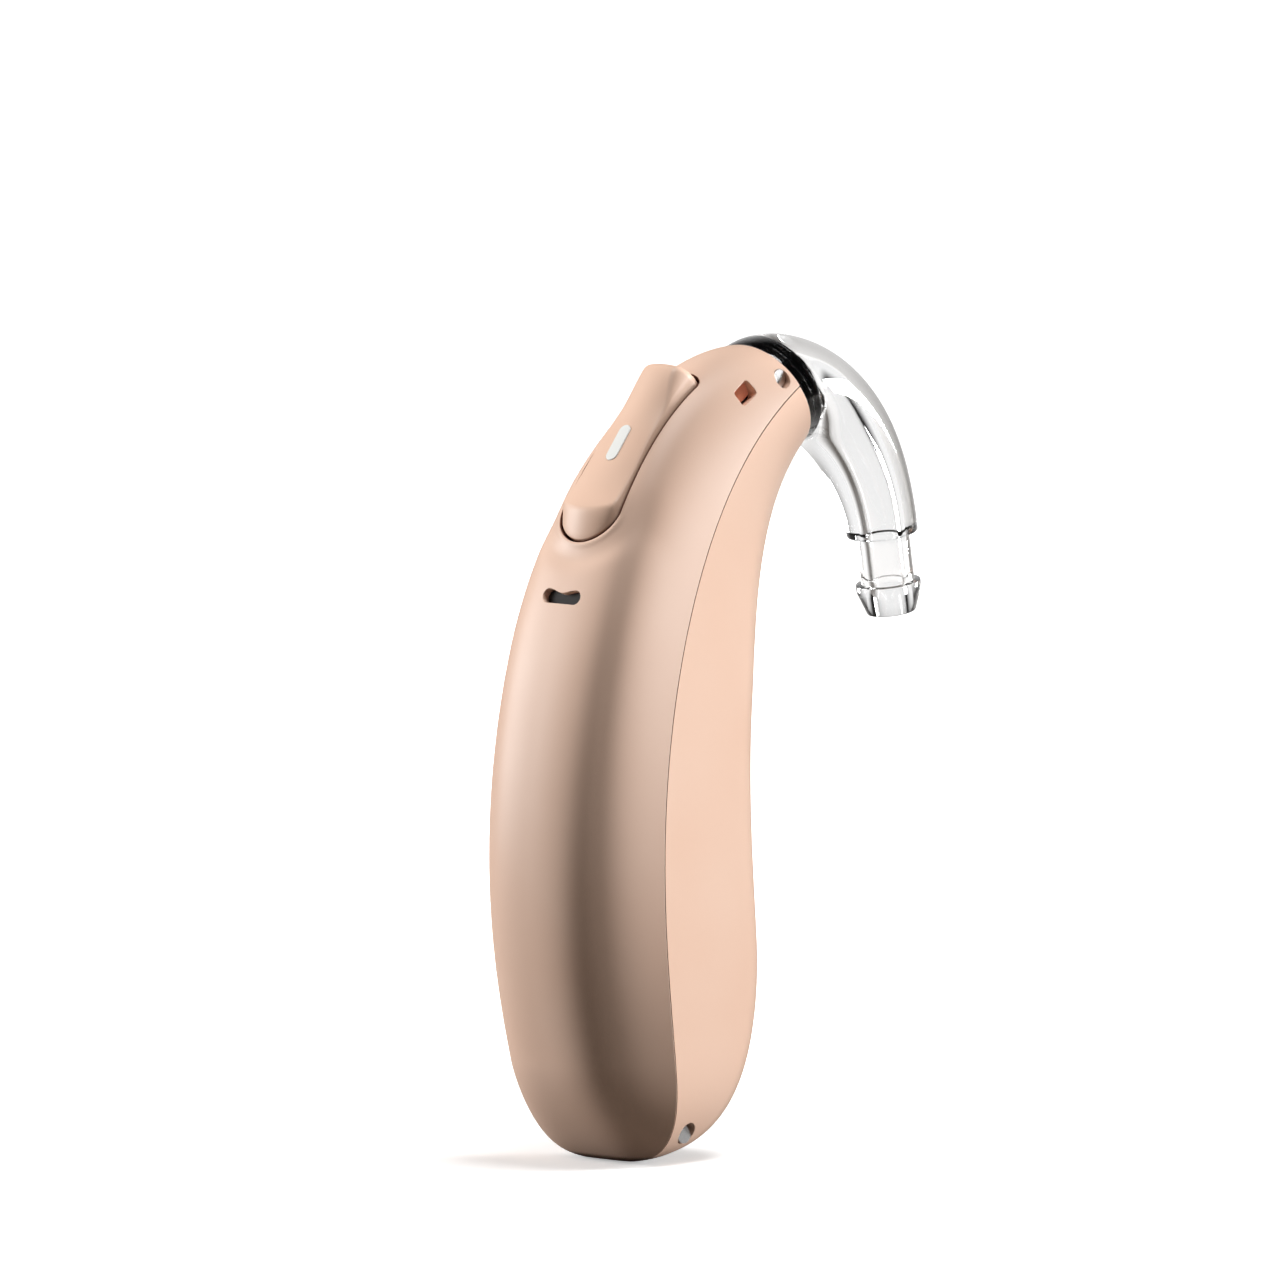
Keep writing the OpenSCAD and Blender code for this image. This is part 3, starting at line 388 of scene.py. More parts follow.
def cutGrid(shape, tLines, vLines, holes, edgeRound):
    # A grid over t and v, cut along the zero line of each hole's distance: an edge that crosses the
    # line has its nearer end moved onto it, by halving, and the triangles inside the line are dropped
    rows, cols = len(tLines) - 1, len(vLines) - 1
    t = np.repeat(tLines, cols + 1)
    v = np.tile(vLines, rows + 1)

    def cutValue(tt, vv):
        p = shape(tt, vv)
        return np.min([h(p) for h in holes], axis=0) - edgeRound

    s = cutValue(t, v)
    i, j = np.meshgrid(np.arange(rows), np.arange(cols), indexing="ij")
    a = (i * (cols + 1) + j).ravel()
    b, c, d = a + 1, a + cols + 1, a + cols + 2
    tris = np.concatenate([np.column_stack([a, b, d]), np.column_stack([a, d, c])])
    first = cols + 1
    tris = tris[~((tris < first).sum(axis=1) >= 2)]
    tris = np.where(tris < first, 0, tris)  # row 0 is one point, the pole
    edges = np.unique(np.sort(tris[:, [0, 1, 1, 2, 2, 0]].reshape(-1, 2), axis=1), axis=0)
    cross = edges[(s[edges[:, 0]] > 0) != (s[edges[:, 1]] > 0)]
    p, q = cross[:, 0], cross[:, 1]
    low, high = np.zeros(len(cross)), np.ones(len(cross))
    signLow = s[p] > 0
    for _ in range(18):
        mid = (low + high) / 2
        same = (cutValue(t[p] + (t[q] - t[p]) * mid, v[p] + (v[q] - v[p]) * mid) > 0) == signLow
        low, high = np.where(same, mid, low), np.where(same, high, mid)
    share = (low + high) / 2
    ct, cv = t[p] + (t[q] - t[p]) * share, v[p] + (v[q] - v[p]) * share
    nearer = np.where(share < 0.5, p, q)
    order = np.argsort(-np.minimum(share, 1 - share))  # the smallest move is written last
    t[nearer[order]], v[nearer[order]] = ct[order], cv[order]
    s[nearer] = 0
    inside = (s[tris] < 0).any(axis=1)
    flat = (s[tris] == 0).all(axis=1)
    if flat.any():
        inside[flat] = cutValue(t[tris[flat]].mean(axis=1), v[tris[flat]].mean(axis=1)) < 0
    tris = tris[~inside]
    used = np.unique(tris)
    index = np.full(len(t), -1)
    index[used] = np.arange(len(used))
    return t[used], v[used], index[tris], s[used] == 0


def openEdges(tris):
    # Directed edges that only one triangle has, as a map from each start to its end
    half = np.concatenate([tris[:, [0, 1]], tris[:, [1, 2]], tris[:, [2, 0]]])
    n = tris.max() + 1
    keys = half[:, 0].astype(np.int64) * n + half[:, 1]
    back = half[:, 1].astype(np.int64) * n + half[:, 0]
    return half[~np.isin(keys, back)]


def outwards(vectors, points, t):
    # Turns each vector away from the seam line
    return vectors * np.sign(np.sum(vectors * (points - middle(t)), axis=-1, keepdims=True))


def holeSide(p, n, holes):
    # Unit step into the nearest hole along the skin: minus the gradient of its distance
    e = 1e-3
    steps = [np.min([h(p + e * axis) for h in holes], axis=0) for axis in np.eye(3)]
    back = [np.min([h(p - e * axis) for h in holes], axis=0) for axis in np.eye(3)]
    g = -(np.stack(steps, axis=-1) - np.stack(back, axis=-1))
    return unit(g - np.sum(g * n, axis=-1, keepdims=True) * n)


def closedShell(onSpine, tLines, vLines, holes):
    # Outer skin, inner skin and, at every open edge, a quarter round of the edge radius and a wall
    # between the two skins. The round steps out from the edge by r sin a and down by r (1 - cos a).
    # Each corner gets the normal of the smooth surface that it lies on.
    r = housing["edgeRound"]
    outer, inner = reliefShape(onSpine), innerShape(onSpine)
    t, v, tris, onHole = cutGrid(outer, tLines, vLines, holes, r)
    p, q = outer(t, v), inner(t, v)
    safe = np.maximum(t, 2e-3)
    n = outwards(gridNormals(outer, safe, v), p, t)
    m = -outwards(gridNormals(inner, safe, v), q, t)
    n[t == 0], m[t == 0] = (0, 0, -1), (0, 0, 1)
    face = np.cross(p[tris[:, 1]] - p[tris[:, 0]], p[tris[:, 2]] - p[tris[:, 0]])
    if np.sum(face * n[tris[:, 0]]) < 0:
        tris = tris[:, ::-1]
    edge = openEdges(tris)
    after = dict(map(tuple, edge))
    before = {b: a for a, b in after.items()}
    rim = np.array(sorted(after))
    ends = np.array([after[k] for k in rim])
    starts = np.array([before[k] for k in rim])
    out = unit(np.cross(unit(p[ends] - p[rim]) + unit(p[rim] - p[starts]), n[rim]))
    cut = onHole[rim]
    out[cut] = holeSide(p[rim[cut]], n[rim[cut]], holes)
    place = {k: i for i, k in enumerate(rim)}
    verts, rings, normals = [p, q], [rim], [n[rim]]
    base = len(p) * 2
    steps = 4
    for k in range(1, steps + 1):
        a = math.pi / 2 * k / steps
        verts.append(p[rim] + out * (r * math.sin(a)) - n[rim] * (r * (1 - math.cos(a))))
        normals.append(n[rim] * math.cos(a) + out * math.sin(a))
        rings.append(base + np.arange(len(rim)))
        base += len(rim)
    verts.append(q[rim] + out * r)
    normals.append(out)
    rings += [base + np.arange(len(rim)), rim + len(p)]
    normals.append(m[rim])
    here = np.arange(len(rim))
    nxt = np.array([place[k] for k in ends])
    faces, corners = [tris, tris[:, ::-1] + len(p)], [n[tris], m[tris[:, ::-1]]]
    for k in range(len(rings) - 1):
        low, high = rings[k], rings[k + 1]
        a, b = (m[rim], m[rim]) if k == len(rings) - 2 else (normals[k], normals[k + 1])
        faces.append(np.column_stack([low[here], high[here], high[nxt]]))
        corners.append(np.stack([a[here], b[here], b[nxt]], axis=1))
        faces.append(np.column_stack([low[here], high[nxt], low[nxt]]))
        corners.append(np.stack([a[here], b[nxt], a[nxt]], axis=1))
    return np.concatenate(verts), np.concatenate(faces), np.concatenate(corners)


def welded(verts, faces):
    # Splits quads into triangles, merges corners that share a place, and drops faces left without area
    _, first, index = np.unique(np.round(verts / 1e-5), axis=0, return_index=True, return_inverse=True)
    tris = index.reshape(-1)[np.concatenate([faces[:, :3], faces[:, [0, 2, 3]]])]
    whole = (tris[:, 0] != tris[:, 1]) & (tris[:, 1] != tris[:, 2]) & (tris[:, 2] != tris[:, 0])
    return verts[first], tris[whole]


def addPiece(name, verts, faces, material, body, replaced=(), angle=35, corners=None):
    mesh = bpy.data.meshes.new(name)
    mesh.from_pydata((verts * mm).tolist(), [], faces.tolist())
    mesh.shade_smooth()
    if corners is None:
        mesh.set_sharp_from_angle(angle=math.radians(angle))
    else:
        mesh.normals_split_custom_set(corners.reshape(-1, 3).tolist())
    mesh.materials.append(material)
    piece = bpy.data.objects.new(name, mesh)
    bpy.context.collection.objects.link(piece)
    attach(piece, body)
    if replaced:
        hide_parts(*replaced)
    print(name, "has", len(mesh.polygons), "faces")
    return piece


# Materials

def linear(hexColour):
    # sRGB hex to linear light
    c = np.array([int(hexColour[i : i + 2], 16) for i in (0, 2, 4)]) / 255
    return tuple(np.where(c <= 0.04045, c / 12.92, ((c + 0.055) / 1.055) ** 2.4)) + (1.0,)


def newMaterial(name, colour, roughness, metallic=0.0):
    material = bpy.data.materials.new(name)
    material.use_nodes = True
    shader = material.node_tree.nodes["Principled BSDF"]
    shader.inputs["Base Color"].default_value = linear(colour)
    shader.inputs["Roughness"].default_value = roughness
    shader.inputs["Metallic"].default_value = metallic
    return material, shader


def node(material, kind, settings=(), links=()):
    # Adds one node, sets its values, and links its sockets to other nodes
    made = material.node_tree.nodes.new(kind)
    for key, value in dict(settings).items():
        if isinstance(key, str) and hasattr(made, key):
            setattr(made, key, value)
        else:
            made.inputs[key].default_value = value
    for socket, source in dict(links).items():
        material.node_tree.links.new(source, made.inputs[socket])
    return made


def grained(material, shader, grain, height, low, high):
    # A moulded grain: fine noise as bump, and a slow drift of the roughness between two values
    place = {"Vector": node(material, "ShaderNodeTexCoord").outputs["Object"]}
    fine = node(material, "ShaderNodeTexNoise", {"Scale": 1 / (grain * mm), "Detail": 3.0}, place)
    relief = {"Strength": 0.4, "Distance": height * mm}
    bump = node(material, "ShaderNodeBump", relief, {"Height": fine.outputs["Fac"]})
    slow = node(material, "ShaderNodeTexNoise", {"Scale": 1 / (6 * mm), "Detail": 2.0}, place)
    limits = {"To Min": low, "To Max": high}
    drift = node(material, "ShaderNodeMapRange", limits, {"Value": slow.outputs["Fac"]})
    links = material.node_tree.links
    links.new(bump.outputs["Normal"], shader.inputs["Normal"])
    links.new(drift.outputs["Result"], shader.inputs["Roughness"])


def tinted(material, shader, first, second, size):
    # A faint drift between two near shades
    place = {"Vector": node(material, "ShaderNodeTexCoord").outputs["Object"]}
    cloud = node(material, "ShaderNodeTexNoise", {"Scale": 1 / (size * mm), "Detail": 2.0}, place)
    ramp = node(material, "ShaderNodeValToRGB", {}, {"Fac": cloud.outputs["Fac"]})
    stops = ramp.color_ramp.elements
    stops[0].position, stops[1].position = 0.35, 0.65
    stops[0].color, stops[1].color = linear(first), linear(second)
    material.node_tree.links.new(ramp.outputs["Color"], shader.inputs["Base Color"])


def paintedCreviceShade(material, shader, reach, deep):
    # Painted shade: the colour turns to a deep brown in gaps and holes, by how much of the near space is
    # open, standing in for the shade that falls into them
    source = shader.inputs["Base Color"].links[0].from_socket
    near = node(material, "ShaderNodeAmbientOcclusion", {"samples": 8, "Distance": reach * mm})
    limits = {"From Min": 0.25, "From Max": 0.7}
    share = node(material, "ShaderNodeMapRange", limits, {"Value": near.outputs["AO"]})
    blend = {"data_type": "RGBA", 6: linear(deep)}
    shade = node(material, "ShaderNodeMix", blend, {0: share.outputs["Result"], 7: source})
    material.node_tree.links.new(shade.outputs[2], shader.inputs["Base Color"])


# Satin painted polyamide, moulded and lacquered: soft, wide highlights and a silk grain
satinLacquer, shader = newMaterial("satinLacquerOnPolyamide", "EFCCB6", 0.42)
tinted(satinLacquer, shader, "EECAB4", "F0CEB9", 7)
grained(satinLacquer, shader, 0.12, 0.004, 0.38, 0.46)
# Painted shade: deep brown in the seam, the gaps and the holes of the shells
paintedCreviceShade(satinLacquer, shader, 0.5, "6A3C2A")
shader.inputs["IOR"].default_value = 1.48
shader.inputs["Coat Weight"].default_value = 0.05
shader.inputs["Specular IOR Level"].default_value = 0.3
shader.inputs["Coat Roughness"].default_value = 0.3

# The rocker is moulded from the same resin, a touch pinker and without the lacquer's depth
satinButton, shader = newMaterial("satinMouldedButton", "EDC8B0", 0.45)
tinted(satinButton, shader, "ECC6AE", "EECAB3", 5)
grained(satinButton, shader, 0.12, 0.004, 0.42, 0.5)
# Painted shade: deep brown in the gap round the rocker
paintedCreviceShade(satinButton, shader, 0.5, "6A3C2A")
shader.inputs["IOR"].default_value = 1.48

# Frosted polycarbonate light guide: milky white with a soft shine
frostedGuide, shader = newMaterial("frostedPolycarbonate", "F2F3F0", 0.3)
grained(frostedGuide, shader, 0.2, 0.002, 0.26, 0.34)

# Clear cast copolyester of the hook: clear and glossy, with a faint ripple in its surface
clearHook, shader = newMaterial("clearCopolyester", "FFFFFF", 0.0)
shader.inputs["Transmission Weight"].default_value = 1.0
shader.inputs["IOR"].default_value = 1.5
rippled = node(clearHook, "ShaderNodeTexCoord")
waves = {"Scale": 1 / (3 * mm)}
ripple = node(clearHook, "ShaderNodeTexNoise", waves, {"Vector": rippled.outputs["Object"]})
relief = {"Strength": 0.15, "Distance": 0.05 * mm}
swell = node(clearHook, "ShaderNodeBump", relief, {"Height": ripple.outputs["Fac"]})
clearHook.node_tree.links.new(swell.outputs["Normal"], shader.inputs["Normal"])

# Black glass-filled nylon of the collar: deep black, glossy from the mould
blackNylon, shader = newMaterial("blackMouldedNylon", "1C1D1F", 0.14)
tinted(blackNylon, shader, "191A1C", "232426", 2)
grained(blackNylon, shader, 0.3, 0.002, 0.1, 0.18)

# Turned stainless steel pins: bright, with fine turning marks
turnedSteel, shader = newMaterial("turnedStainlessSteel", "E4E6E8", 0.22, 1.0)
grained(turnedSteel, shader, 0.15, 0.003, 0.16, 0.3)

# Woven acoustic mesh: near black, matt
acousticMesh, shader = newMaterial("wovenAcousticMesh", "0E0C0B", 0.7)
grained(acousticMesh, shader, 0.08, 0.02, 0.6, 0.8)

# Brown mesh behind the front ports, seen in their own shade. Its colour is lighter than the mesh's own and
# it glows faintly: painted light that lifts it out of that shade
brownMeshPaintedGlow, shader = newMaterial("brownAcousticMeshPaintedGlow", "C98468", 0.7)
grained(brownMeshPaintedGlow, shader, 0.08, 0.02, 0.6, 0.8)
# Painted glow: a faint brown emission, though the mesh is no lamp
shader.inputs["Emission Color"].default_value = linear("8A5442")
shader.inputs["Emission Strength"].default_value = 0.5

# Dark brown silicone of the seam strip
brownSilicone, shader = newMaterial("brownSilicone", "6A5140", 0.6)
grained(brownSilicone, shader, 0.3, 0.004, 0.5, 0.7)

# Grey silicone of the boot, tube and gaskets
greySilicone, shader = newMaterial("greySilicone", "4A4D51", 0.55)
grained(greySilicone, shader, 0.3, 0.004, 0.48, 0.62)

# Hard gold plate on the contacts and microphone cases
goldPlate, shader = newMaterial("hardGoldPlate", "E3B964", 0.25, 1.0)
grained(goldPlate, shader, 0.2, 0.003, 0.18, 0.32)

# Rolled steel cans of the cell, the receiver and the shields
rolledSteel, shader = newMaterial("rolledSteelCan", "C9CBCE", 0.35, 1.0)
grained(rolledSteel, shader, 0.4, 0.004, 0.28, 0.42)

# Green solder mask over glass epoxy
solderMask, shader = newMaterial("greenSolderMask", "1F5A3C", 0.35)
grained(solderMask, shader, 0.25, 0.004, 0.3, 0.42)

# Black epoxy of the chips
chipEpoxy, shader = newMaterial("blackChipEpoxy", "1B1C1E", 0.6)
grained(chipEpoxy, shader, 0.15, 0.004, 0.55, 0.7)

# Copper on polyimide film
copperFilm, shader = newMaterial("copperOnPolyimide", "C0783C", 0.35, 0.7)
grained(copperFilm, shader, 0.3, 0.003, 0.28, 0.42)

# Grey glass-filled chassis resin
chassisResin, shader = newMaterial("greyChassisResin", "8D9298", 0.5)
grained(chassisResin, shader, 0.2, 0.006, 0.45, 0.6)
print("materials made")

# Shells
baseHole = crossHole(baseX + pinHoles["baseX"], pinHoles["baseZ"], pinHoles["baseRadius"])
collarHole = crossHole(collarPin[0], collarPin[1], pinHoles["collarRadius"])
tLines = gridLines(270, 1.6, 0.8, 0.14) ** 1.25
vLines = 2 * gridLines(150, 1.5, 0.5, 0.2) - 1
holes = [rockerHole, slotHole, portHole, collarHole]
verts, faces, corners = closedShell(True, tLines, vLines, holes)
spineShell = addPiece(
    "spineShellSkin", verts, faces, satinLacquer, "housing", ["spine_shell"], corners=corners
)
tLines = gridLines(270, 1.0, 0.15, 0.1) ** 1.4
vLines = 2 * gridLines(140, 0.5, 0.5, 0.1) - 1
holes = [baseHole, *(contactHole(share) for share in contactShares)]
verts, faces, corners = closedShell(False, tLines, vLines, holes)
frontShell = addPiece(
    "frontShellSkin", verts, faces, satinLacquer, "housing", ["front_shell"], corners=corners
)


# Rocker cap: rings from the outline in to the middle line, lifted to the thumb face
def rockerOutline(count):
    # Walk round the opening less its gap, as points and the middle point that each one faces
    half = rockerLength / 2
    lowX, highX = -half + rocker["lowRadius"], half - rocker["cornerRadius"]
    low = rocker["lowRadius"] - rocker["gap"]
    cornerR = rocker["cornerRadius"] - rocker["gap"]
    cornerY = rocker["highHalf"] - rocker["cornerRadius"]
    parts = []
    for a in np.linspace(math.pi / 2, 3 * math.pi / 2, count):
        parts.append((lowX + low * math.cos(a), low * math.sin(a)))
    for x in np.linspace(0, 1, count)[1:-1]:
        parts.append((lowX + (highX - lowX) * x, -low + (low - cornerY - cornerR) * x))
    for a in np.linspace(-math.pi / 2, 0, count // 2):
        parts.append((highX + cornerR * math.cos(a), -cornerY + cornerR * math.sin(a)))
    for y in np.linspace(-1, 1, count // 3)[1:-1]:
        parts.append((highX + cornerR, cornerY * y))
    for a in np.linspace(0, math.pi / 2, count // 2):
        parts.append((highX + cornerR * math.cos(a), cornerY + cornerR * math.sin(a)))
    for x in np.linspace(1, 0, count)[1:-1]:
        parts.append((lowX + (highX - lowX) * x, low - (low - cornerY - cornerR) * x))
    edge = np.array(parts)
    centre = np.column_stack([np.clip(edge[:, 0], lowX, highX - cornerY), 0 * edge[:, 0]])
    return edge, centre


# Height of the housing round the opening in the rocker's frame, as a polynomial in x and y squared
tNear, vNear = np.meshgrid(np.linspace(0.66, 0.94, 90), np.linspace(-0.5, 0.5, 41), indexing="ij")
nearPoints = toRocker(shellBase(tNear.ravel(), vNear.ravel(), 0, True))
nearPoints = nearPoints[(np.abs(nearPoints[:, 0]) < 6.5) & (np.abs(nearPoints[:, 1]) < 2.6)]


def shellTerms(x, y):
    return np.stack([(x / 5) ** i * (y / 2) ** (2 * j) for i in range(7) for j in range(4)], axis=-1)


nearTerms = shellTerms(nearPoints[:, 0], nearPoints[:, 1])
shellFactors = np.linalg.lstsq(nearTerms, nearPoints[:, 2], rcond=None)[0]


def shellHeight(x, y):
    return shellTerms(x, y) @ shellFactors


def rockerTop(x):
    # Two ridges with a saddle between them; the saddle is a parabola through the ridges and the light
    (x0, z0), (x1, z1) = rocker["ridgeLow"], rocker["ridgeHigh"]
    u = np.clip((x - x0) / (x1 - x0), 0, 1)
    uMid = -x0 / (x1 - x0)
    k = (rocker["saddle"] - z0 - (z1 - z0) * uMid) / (uMid * (1 - uMid))
    rise = rocker["lowRise"] * bell(x, x0, 0.8) + rocker["highRise"] * bell(x, x1 - 0.1, 1.1)
    return z0 + (z1 - z0) * u + k * u * (1 - u) + rise


def rockerSurface(x, y):
    # The top has a crown of its own, fuller at the upper end. It falls over a broad face from the
    # lower ridge to the lower end, over a round hump at the upper end, and over a narrow round at the
    # sides.
    half, low = rockerLength / 2, rocker["lowRadius"] - rocker["gap"]
    crown = 0.16 + 0.14 * smoothStep(-4, -1, x) + 0.26 * bell(x, 2.7, 1.5)
    top = rockerTop(x) - crown * (y / 1.5) ** 2
    foot = np.minimum(shellHeight(x, y), top - 0.05)
    lowEnd = -half + rocker["lowRadius"] - np.sqrt(np.maximum(low**2 - y**2, 0))
    ridge = np.maximum(rocker["ridgeLow"][0] + rocker["ridgeBow"] * y**2, lowEnd + 0.2)
    share = np.clip((x - lowEnd) / (ridge - lowEnd), 0, 1)
    face = share - 0.04 * bell(share, 1, 0.08)
    high = np.clip((half - rocker["gap"] - x) / rocker["humpLength"], 0, 1)
    hump = np.sqrt(1 - (1 - high) ** 2)
    level = foot + (top - foot) * (0.04 + 0.96 * face) * (0.2 + 0.8 * hump)
    atHump = smoothStep(2.6, 4.4, x)
    width = rocker["sideRound"] + (rocker["humpRound"] - rocker["sideRound"]) * atHump
    side = np.clip(-openingDistance(x, y, -rocker["gap"]) / width, 0, 1)
    return level - (0.5 + 0.3 * atHump) * (level - foot) * (1 - np.sqrt(1 - (1 - side) ** 2))


edge, centre = rockerOutline(44)
rings = 46
shares = np.concatenate([np.linspace(0, 0.35, 24), np.linspace(0.35, 1, rings - 23)[1:]])
flatXY = edge[None] + (centre - edge)[None] * shares[:, None, None]
height = rockerSurface(flatXY[..., 0], flatXY[..., 1])
walls = []
for level in (-rocker["skirt"], -0.3):
    walls.append(np.column_stack([edge, np.minimum(level, height[0] - 0.02)]))
walls.append(np.column_stack([edge, height[0] - 0.01]))
inwards = unit(centre - edge)
walls.append(np.column_stack([edge + inwards * 0.012, height[0] + 0.01]))
capRings = walls + [np.column_stack([flatXY[k], height[k]]) for k in range(1, len(shares))]
bottom = np.column_stack([centre, np.full(len(edge), -rocker["skirt"])])
stack = np.concatenate([bottom[None], np.array(capRings)])
print("rocker cap has", len(stack), "rings of", len(edge), "points")


def ringFaces(ringCount, sides, wrap=False, flip=False):
    # Quads between each ring and the next one
    k, j = np.meshgrid(np.arange(ringCount if wrap else ringCount - 1), np.arange(sides), indexing="ij")
    a = (k * sides + j).ravel()
    b = (k * sides + (j + 1) % sides).ravel()
    up = ((k + 1) % ringCount - k).ravel() * sides
    return np.column_stack([a, b, b + up, a + up] if not flip else [a, a + up, b + up, b])


capVerts, capFaces = welded(fromRocker(stack.reshape(-1, 3)), ringFaces(len(stack), len(edge)))
addPiece("rockerCap", capVerts, capFaces, satinButton, "rocker", ["rocker_button"], angle=50)


# Status light: a capsule dome that stands a hair above the thumb face, with a fine rim
def lightRings():
    # Walk round the capsule: half a circle, a straight side, and the same again
    half = (rocker["lightLength"] - rocker["lightWidth"]) / 2
    radius = rocker["lightWidth"] / 2
    arc, run = np.linspace(-math.pi / 2, math.pi / 2, 20), np.linspace(half, -half, 16)[1:-1]
    flat = np.full(len(run), math.pi / 2)
    a = np.concatenate([arc, flat, arc + math.pi, flat + math.pi])
    cx = np.concatenate([np.full(len(arc), half), run, np.full(len(arc), -half), -run])
    levels = [(0.0, -0.3), (1.0, -0.3), (1.0, 0.02), (0.97, 0.035)]  # shares of the radius and lifts
    levels += [(0.92, 0.045), (0.84, 0.041), (0.5, 0.04), (0.0, 0.04)]
    made = []
    for share, lift in levels:
        x = cx + radius * share * np.cos(a)
        y = radius * share * np.sin(a)
        made.append(np.column_stack([x, y, rockerSurface(x, y) + lift]))
    return np.array(made)


light = lightRings()
verts, faces = welded(fromRocker(light.reshape(-1, 3)), ringFaces(len(light), light.shape[1]))
addPiece("statusLight", verts, faces, frostedGuide, "rocker", ["status_lens"], angle=60)

# Hook
hook = {
    "reach": 9.15,
    "drop": 7.4,
    "tipRadius": 1.78,
    "tipDegrees": -80,
    "outerHandles": (3.35, 8.8),
    "innerHandles": (2.3, 3.4),
    "bore": 0.75,
    "funnel": 1.45,
    "neck": 1.32,
    "neckLength": 2.45,
    "barb": 1.62,
    "barbLand": 0.35,
    "barbTaper": 1.2,
    "barbEnd": 1.22,
    "socketRadius": 2.05,
    "socketLength": 1.4,
    "sides": 72,
}
tipAngle = math.radians(hook["tipDegrees"])
tipAlong = np.array([math.cos(tipAngle), math.sin(tipAngle)])
tipUp = np.array([-tipAlong[1], tipAlong[0]])
hookEnd = jointPoint + np.array([hook["reach"], -hook["drop"]])


def hookRail(side, handles):
    # One edge of the hook in the side view, as a Bezier from the neck to the end of the thick part
    low = jointPoint + side * housing["neckRadius"] * jointUp
    high = hookEnd + side * hook["tipRadius"] * tipUp
    return np.array([low, low + handles[0] * jointAlong, high - handles[1] * tipAlong, high])


outerRail, innerRail = hookRail(1, hook["outerHandles"]), hookRail(-1, hook["innerHandles"])


def hookRing(t, radius=None):
    # Centre, direction and radius of the circle that spans the two rails at t
    c = bernstein((outerRail + innerRail) / 2, t)
    span = bernstein(outerRail - innerRail, t)
    d = unit(np.array([span[1], -span[0]]))
    return c, d, np.linalg.norm(span) / 2 if radius is None else radius


def sweepRings(rings, sides):
    # Circle of each ring: centre + r (cos a up + sin a Y), with up square to the ring's direction
    a = 2 * math.pi * np.arange(sides) / sides
    made = []
    for c, d, r in rings:
        up = np.array([-d[1], d[0]])
        x = c[0] + r * np.cos(a) * up[0]
        z = c[1] + r * np.cos(a) * up[1]
        made.append(np.column_stack([x, r * np.sin(a), z]))
    return np.array(made)


def tipRings(pairs):
    # Rings of the straight tip, from pairs of distance along it and radius
    return [(hookEnd + along * tipAlong, tipAlong, radius) for along, radius in pairs]


def hookBody():
    # The profile runs down the outside, round the tip, up through the bore and round the socket
    neck, barb, bore, end = hook["neck"], hook["barb"], hook["bore"], hook["barbEnd"]
    rings = [hookRing(t) for t in np.linspace(0.004, 0.985, 70)]
    turn = np.linspace(0.3, math.pi / 2, 6)
    lip = 0.1
    rings += tipRings((lip * math.sin(a) - lip, hook["tipRadius"] - lip * (1 - math.cos(a))) for a in turn)
    rings += tipRings([(0.0, hook["tipRadius"] - 0.25), (0.01, neck + 0.08)])
    rings += tipRings([(0.04, neck + 0.02), (0.1, neck)])
    z = hook["neckLength"]
    rings += tipRings((a, neck) for a in np.linspace(0.4, z - 0.06, 6))
    rings += tipRings([(z - 0.02, neck + 0.02), (z, neck + 0.08), (z, barb - 0.07)])
    land = z + 0.06 + hook["barbLand"]
    rings += tipRings([(z + 0.02, barb - 0.02), (z + 0.06, barb), (land, barb), (land + 0.06, barb - 0.02)])
    last = z + hook["barbLand"] + hook["barbTaper"]
    rings += tipRings([(last - 0.06, end + 0.02), (last - 0.02, end - 0.01), (last, end - 0.06)])
    rings += tipRings([(last, bore + 0.05), (last - 0.05, bore)])
    rings += tipRings((a, bore) for a in np.linspace(last - 0.4, 0.2, 8))
    for t in np.linspace(0.98, 0.2, 50):
        widened = bore + (hook["funnel"] - bore) * (1 - smoothStep(0.08, 0.3, t))
        rings.append(hookRing(t, radius=float(widened)))
    deep, wide = hook["socketLength"], hook["socketRadius"]
    socket = [(deep, 1.25), (deep, wide - 0.1), (deep - 0.03, wide - 0.03)]
    socket += [(a, wide) for a in np.linspace(deep - 0.1, 0.06, 6)] + [(0.04, wide + 0.02)]
    return rings + [(jointPoint + a * jointAlong, jointAlong, r) for a, r in socket]


hookRings = sweepRings(hookBody(), hook["sides"])
hookFaces = ringFaces(len(hookRings), hook["sides"], wrap=True, flip=True)
verts = hookRings.reshape(-1, 3)
addPiece("earHookClear", verts, hookFaces, clearHook, "housing", ["ear_hook"], angle=40)

# Screens behind the front ports: rounded plates a little larger than the ports
screen = {"inside": 1.94, "thickness": 0.1, "grow": 0.16, "corner": 0.3, "sides": 48}


def portScreens():
    # Rounded rectangle: a superellipse |x / a|^4 + |y / b|^4 = 1 walked by its angle
    a = 2 * math.pi * np.arange(screen["sides"]) / screen["sides"]
    reach = (np.cos(a) ** 4 + np.sin(a) ** 4) ** -0.25
    x = -port["back"] + reach * np.cos(a) * (port["length"] / 2 + screen["grow"])
    y = port["rise"] + reach * np.sin(a) * (port["width"] / 2 + screen["grow"])
    outline = jointPoint + x[:, None] * jointAlong + y[:, None] * jointUp
    centre = jointPoint - port["back"] * jointAlong + port["rise"] * jointUp
    verts, faces = [], []
    count = 4 * screen["sides"]
    for side in (-1, 1):
        near, far = side * screen["inside"], side * (screen["inside"] + screen["thickness"])
        stack = []
        for share, depth in ((0.001, near), (1.0, near), (1.0, far), (0.001, far)):
            ring = centre + (outline - centre) * share
            stack.append(np.column_stack([ring[:, 0], np.full(len(a), depth), ring[:, 1]]))
        faces.append(ringFaces(4, screen["sides"], wrap=True, flip=side > 0) + len(verts) * count)
        verts.append(np.concatenate(stack))
    return np.concatenate(verts), np.concatenate(faces)


verts, faces = portScreens()
addPiece("frontPortScreens", verts, faces, brownMeshPaintedGlow, "housing", ["front_mic_screens"], angle=30)

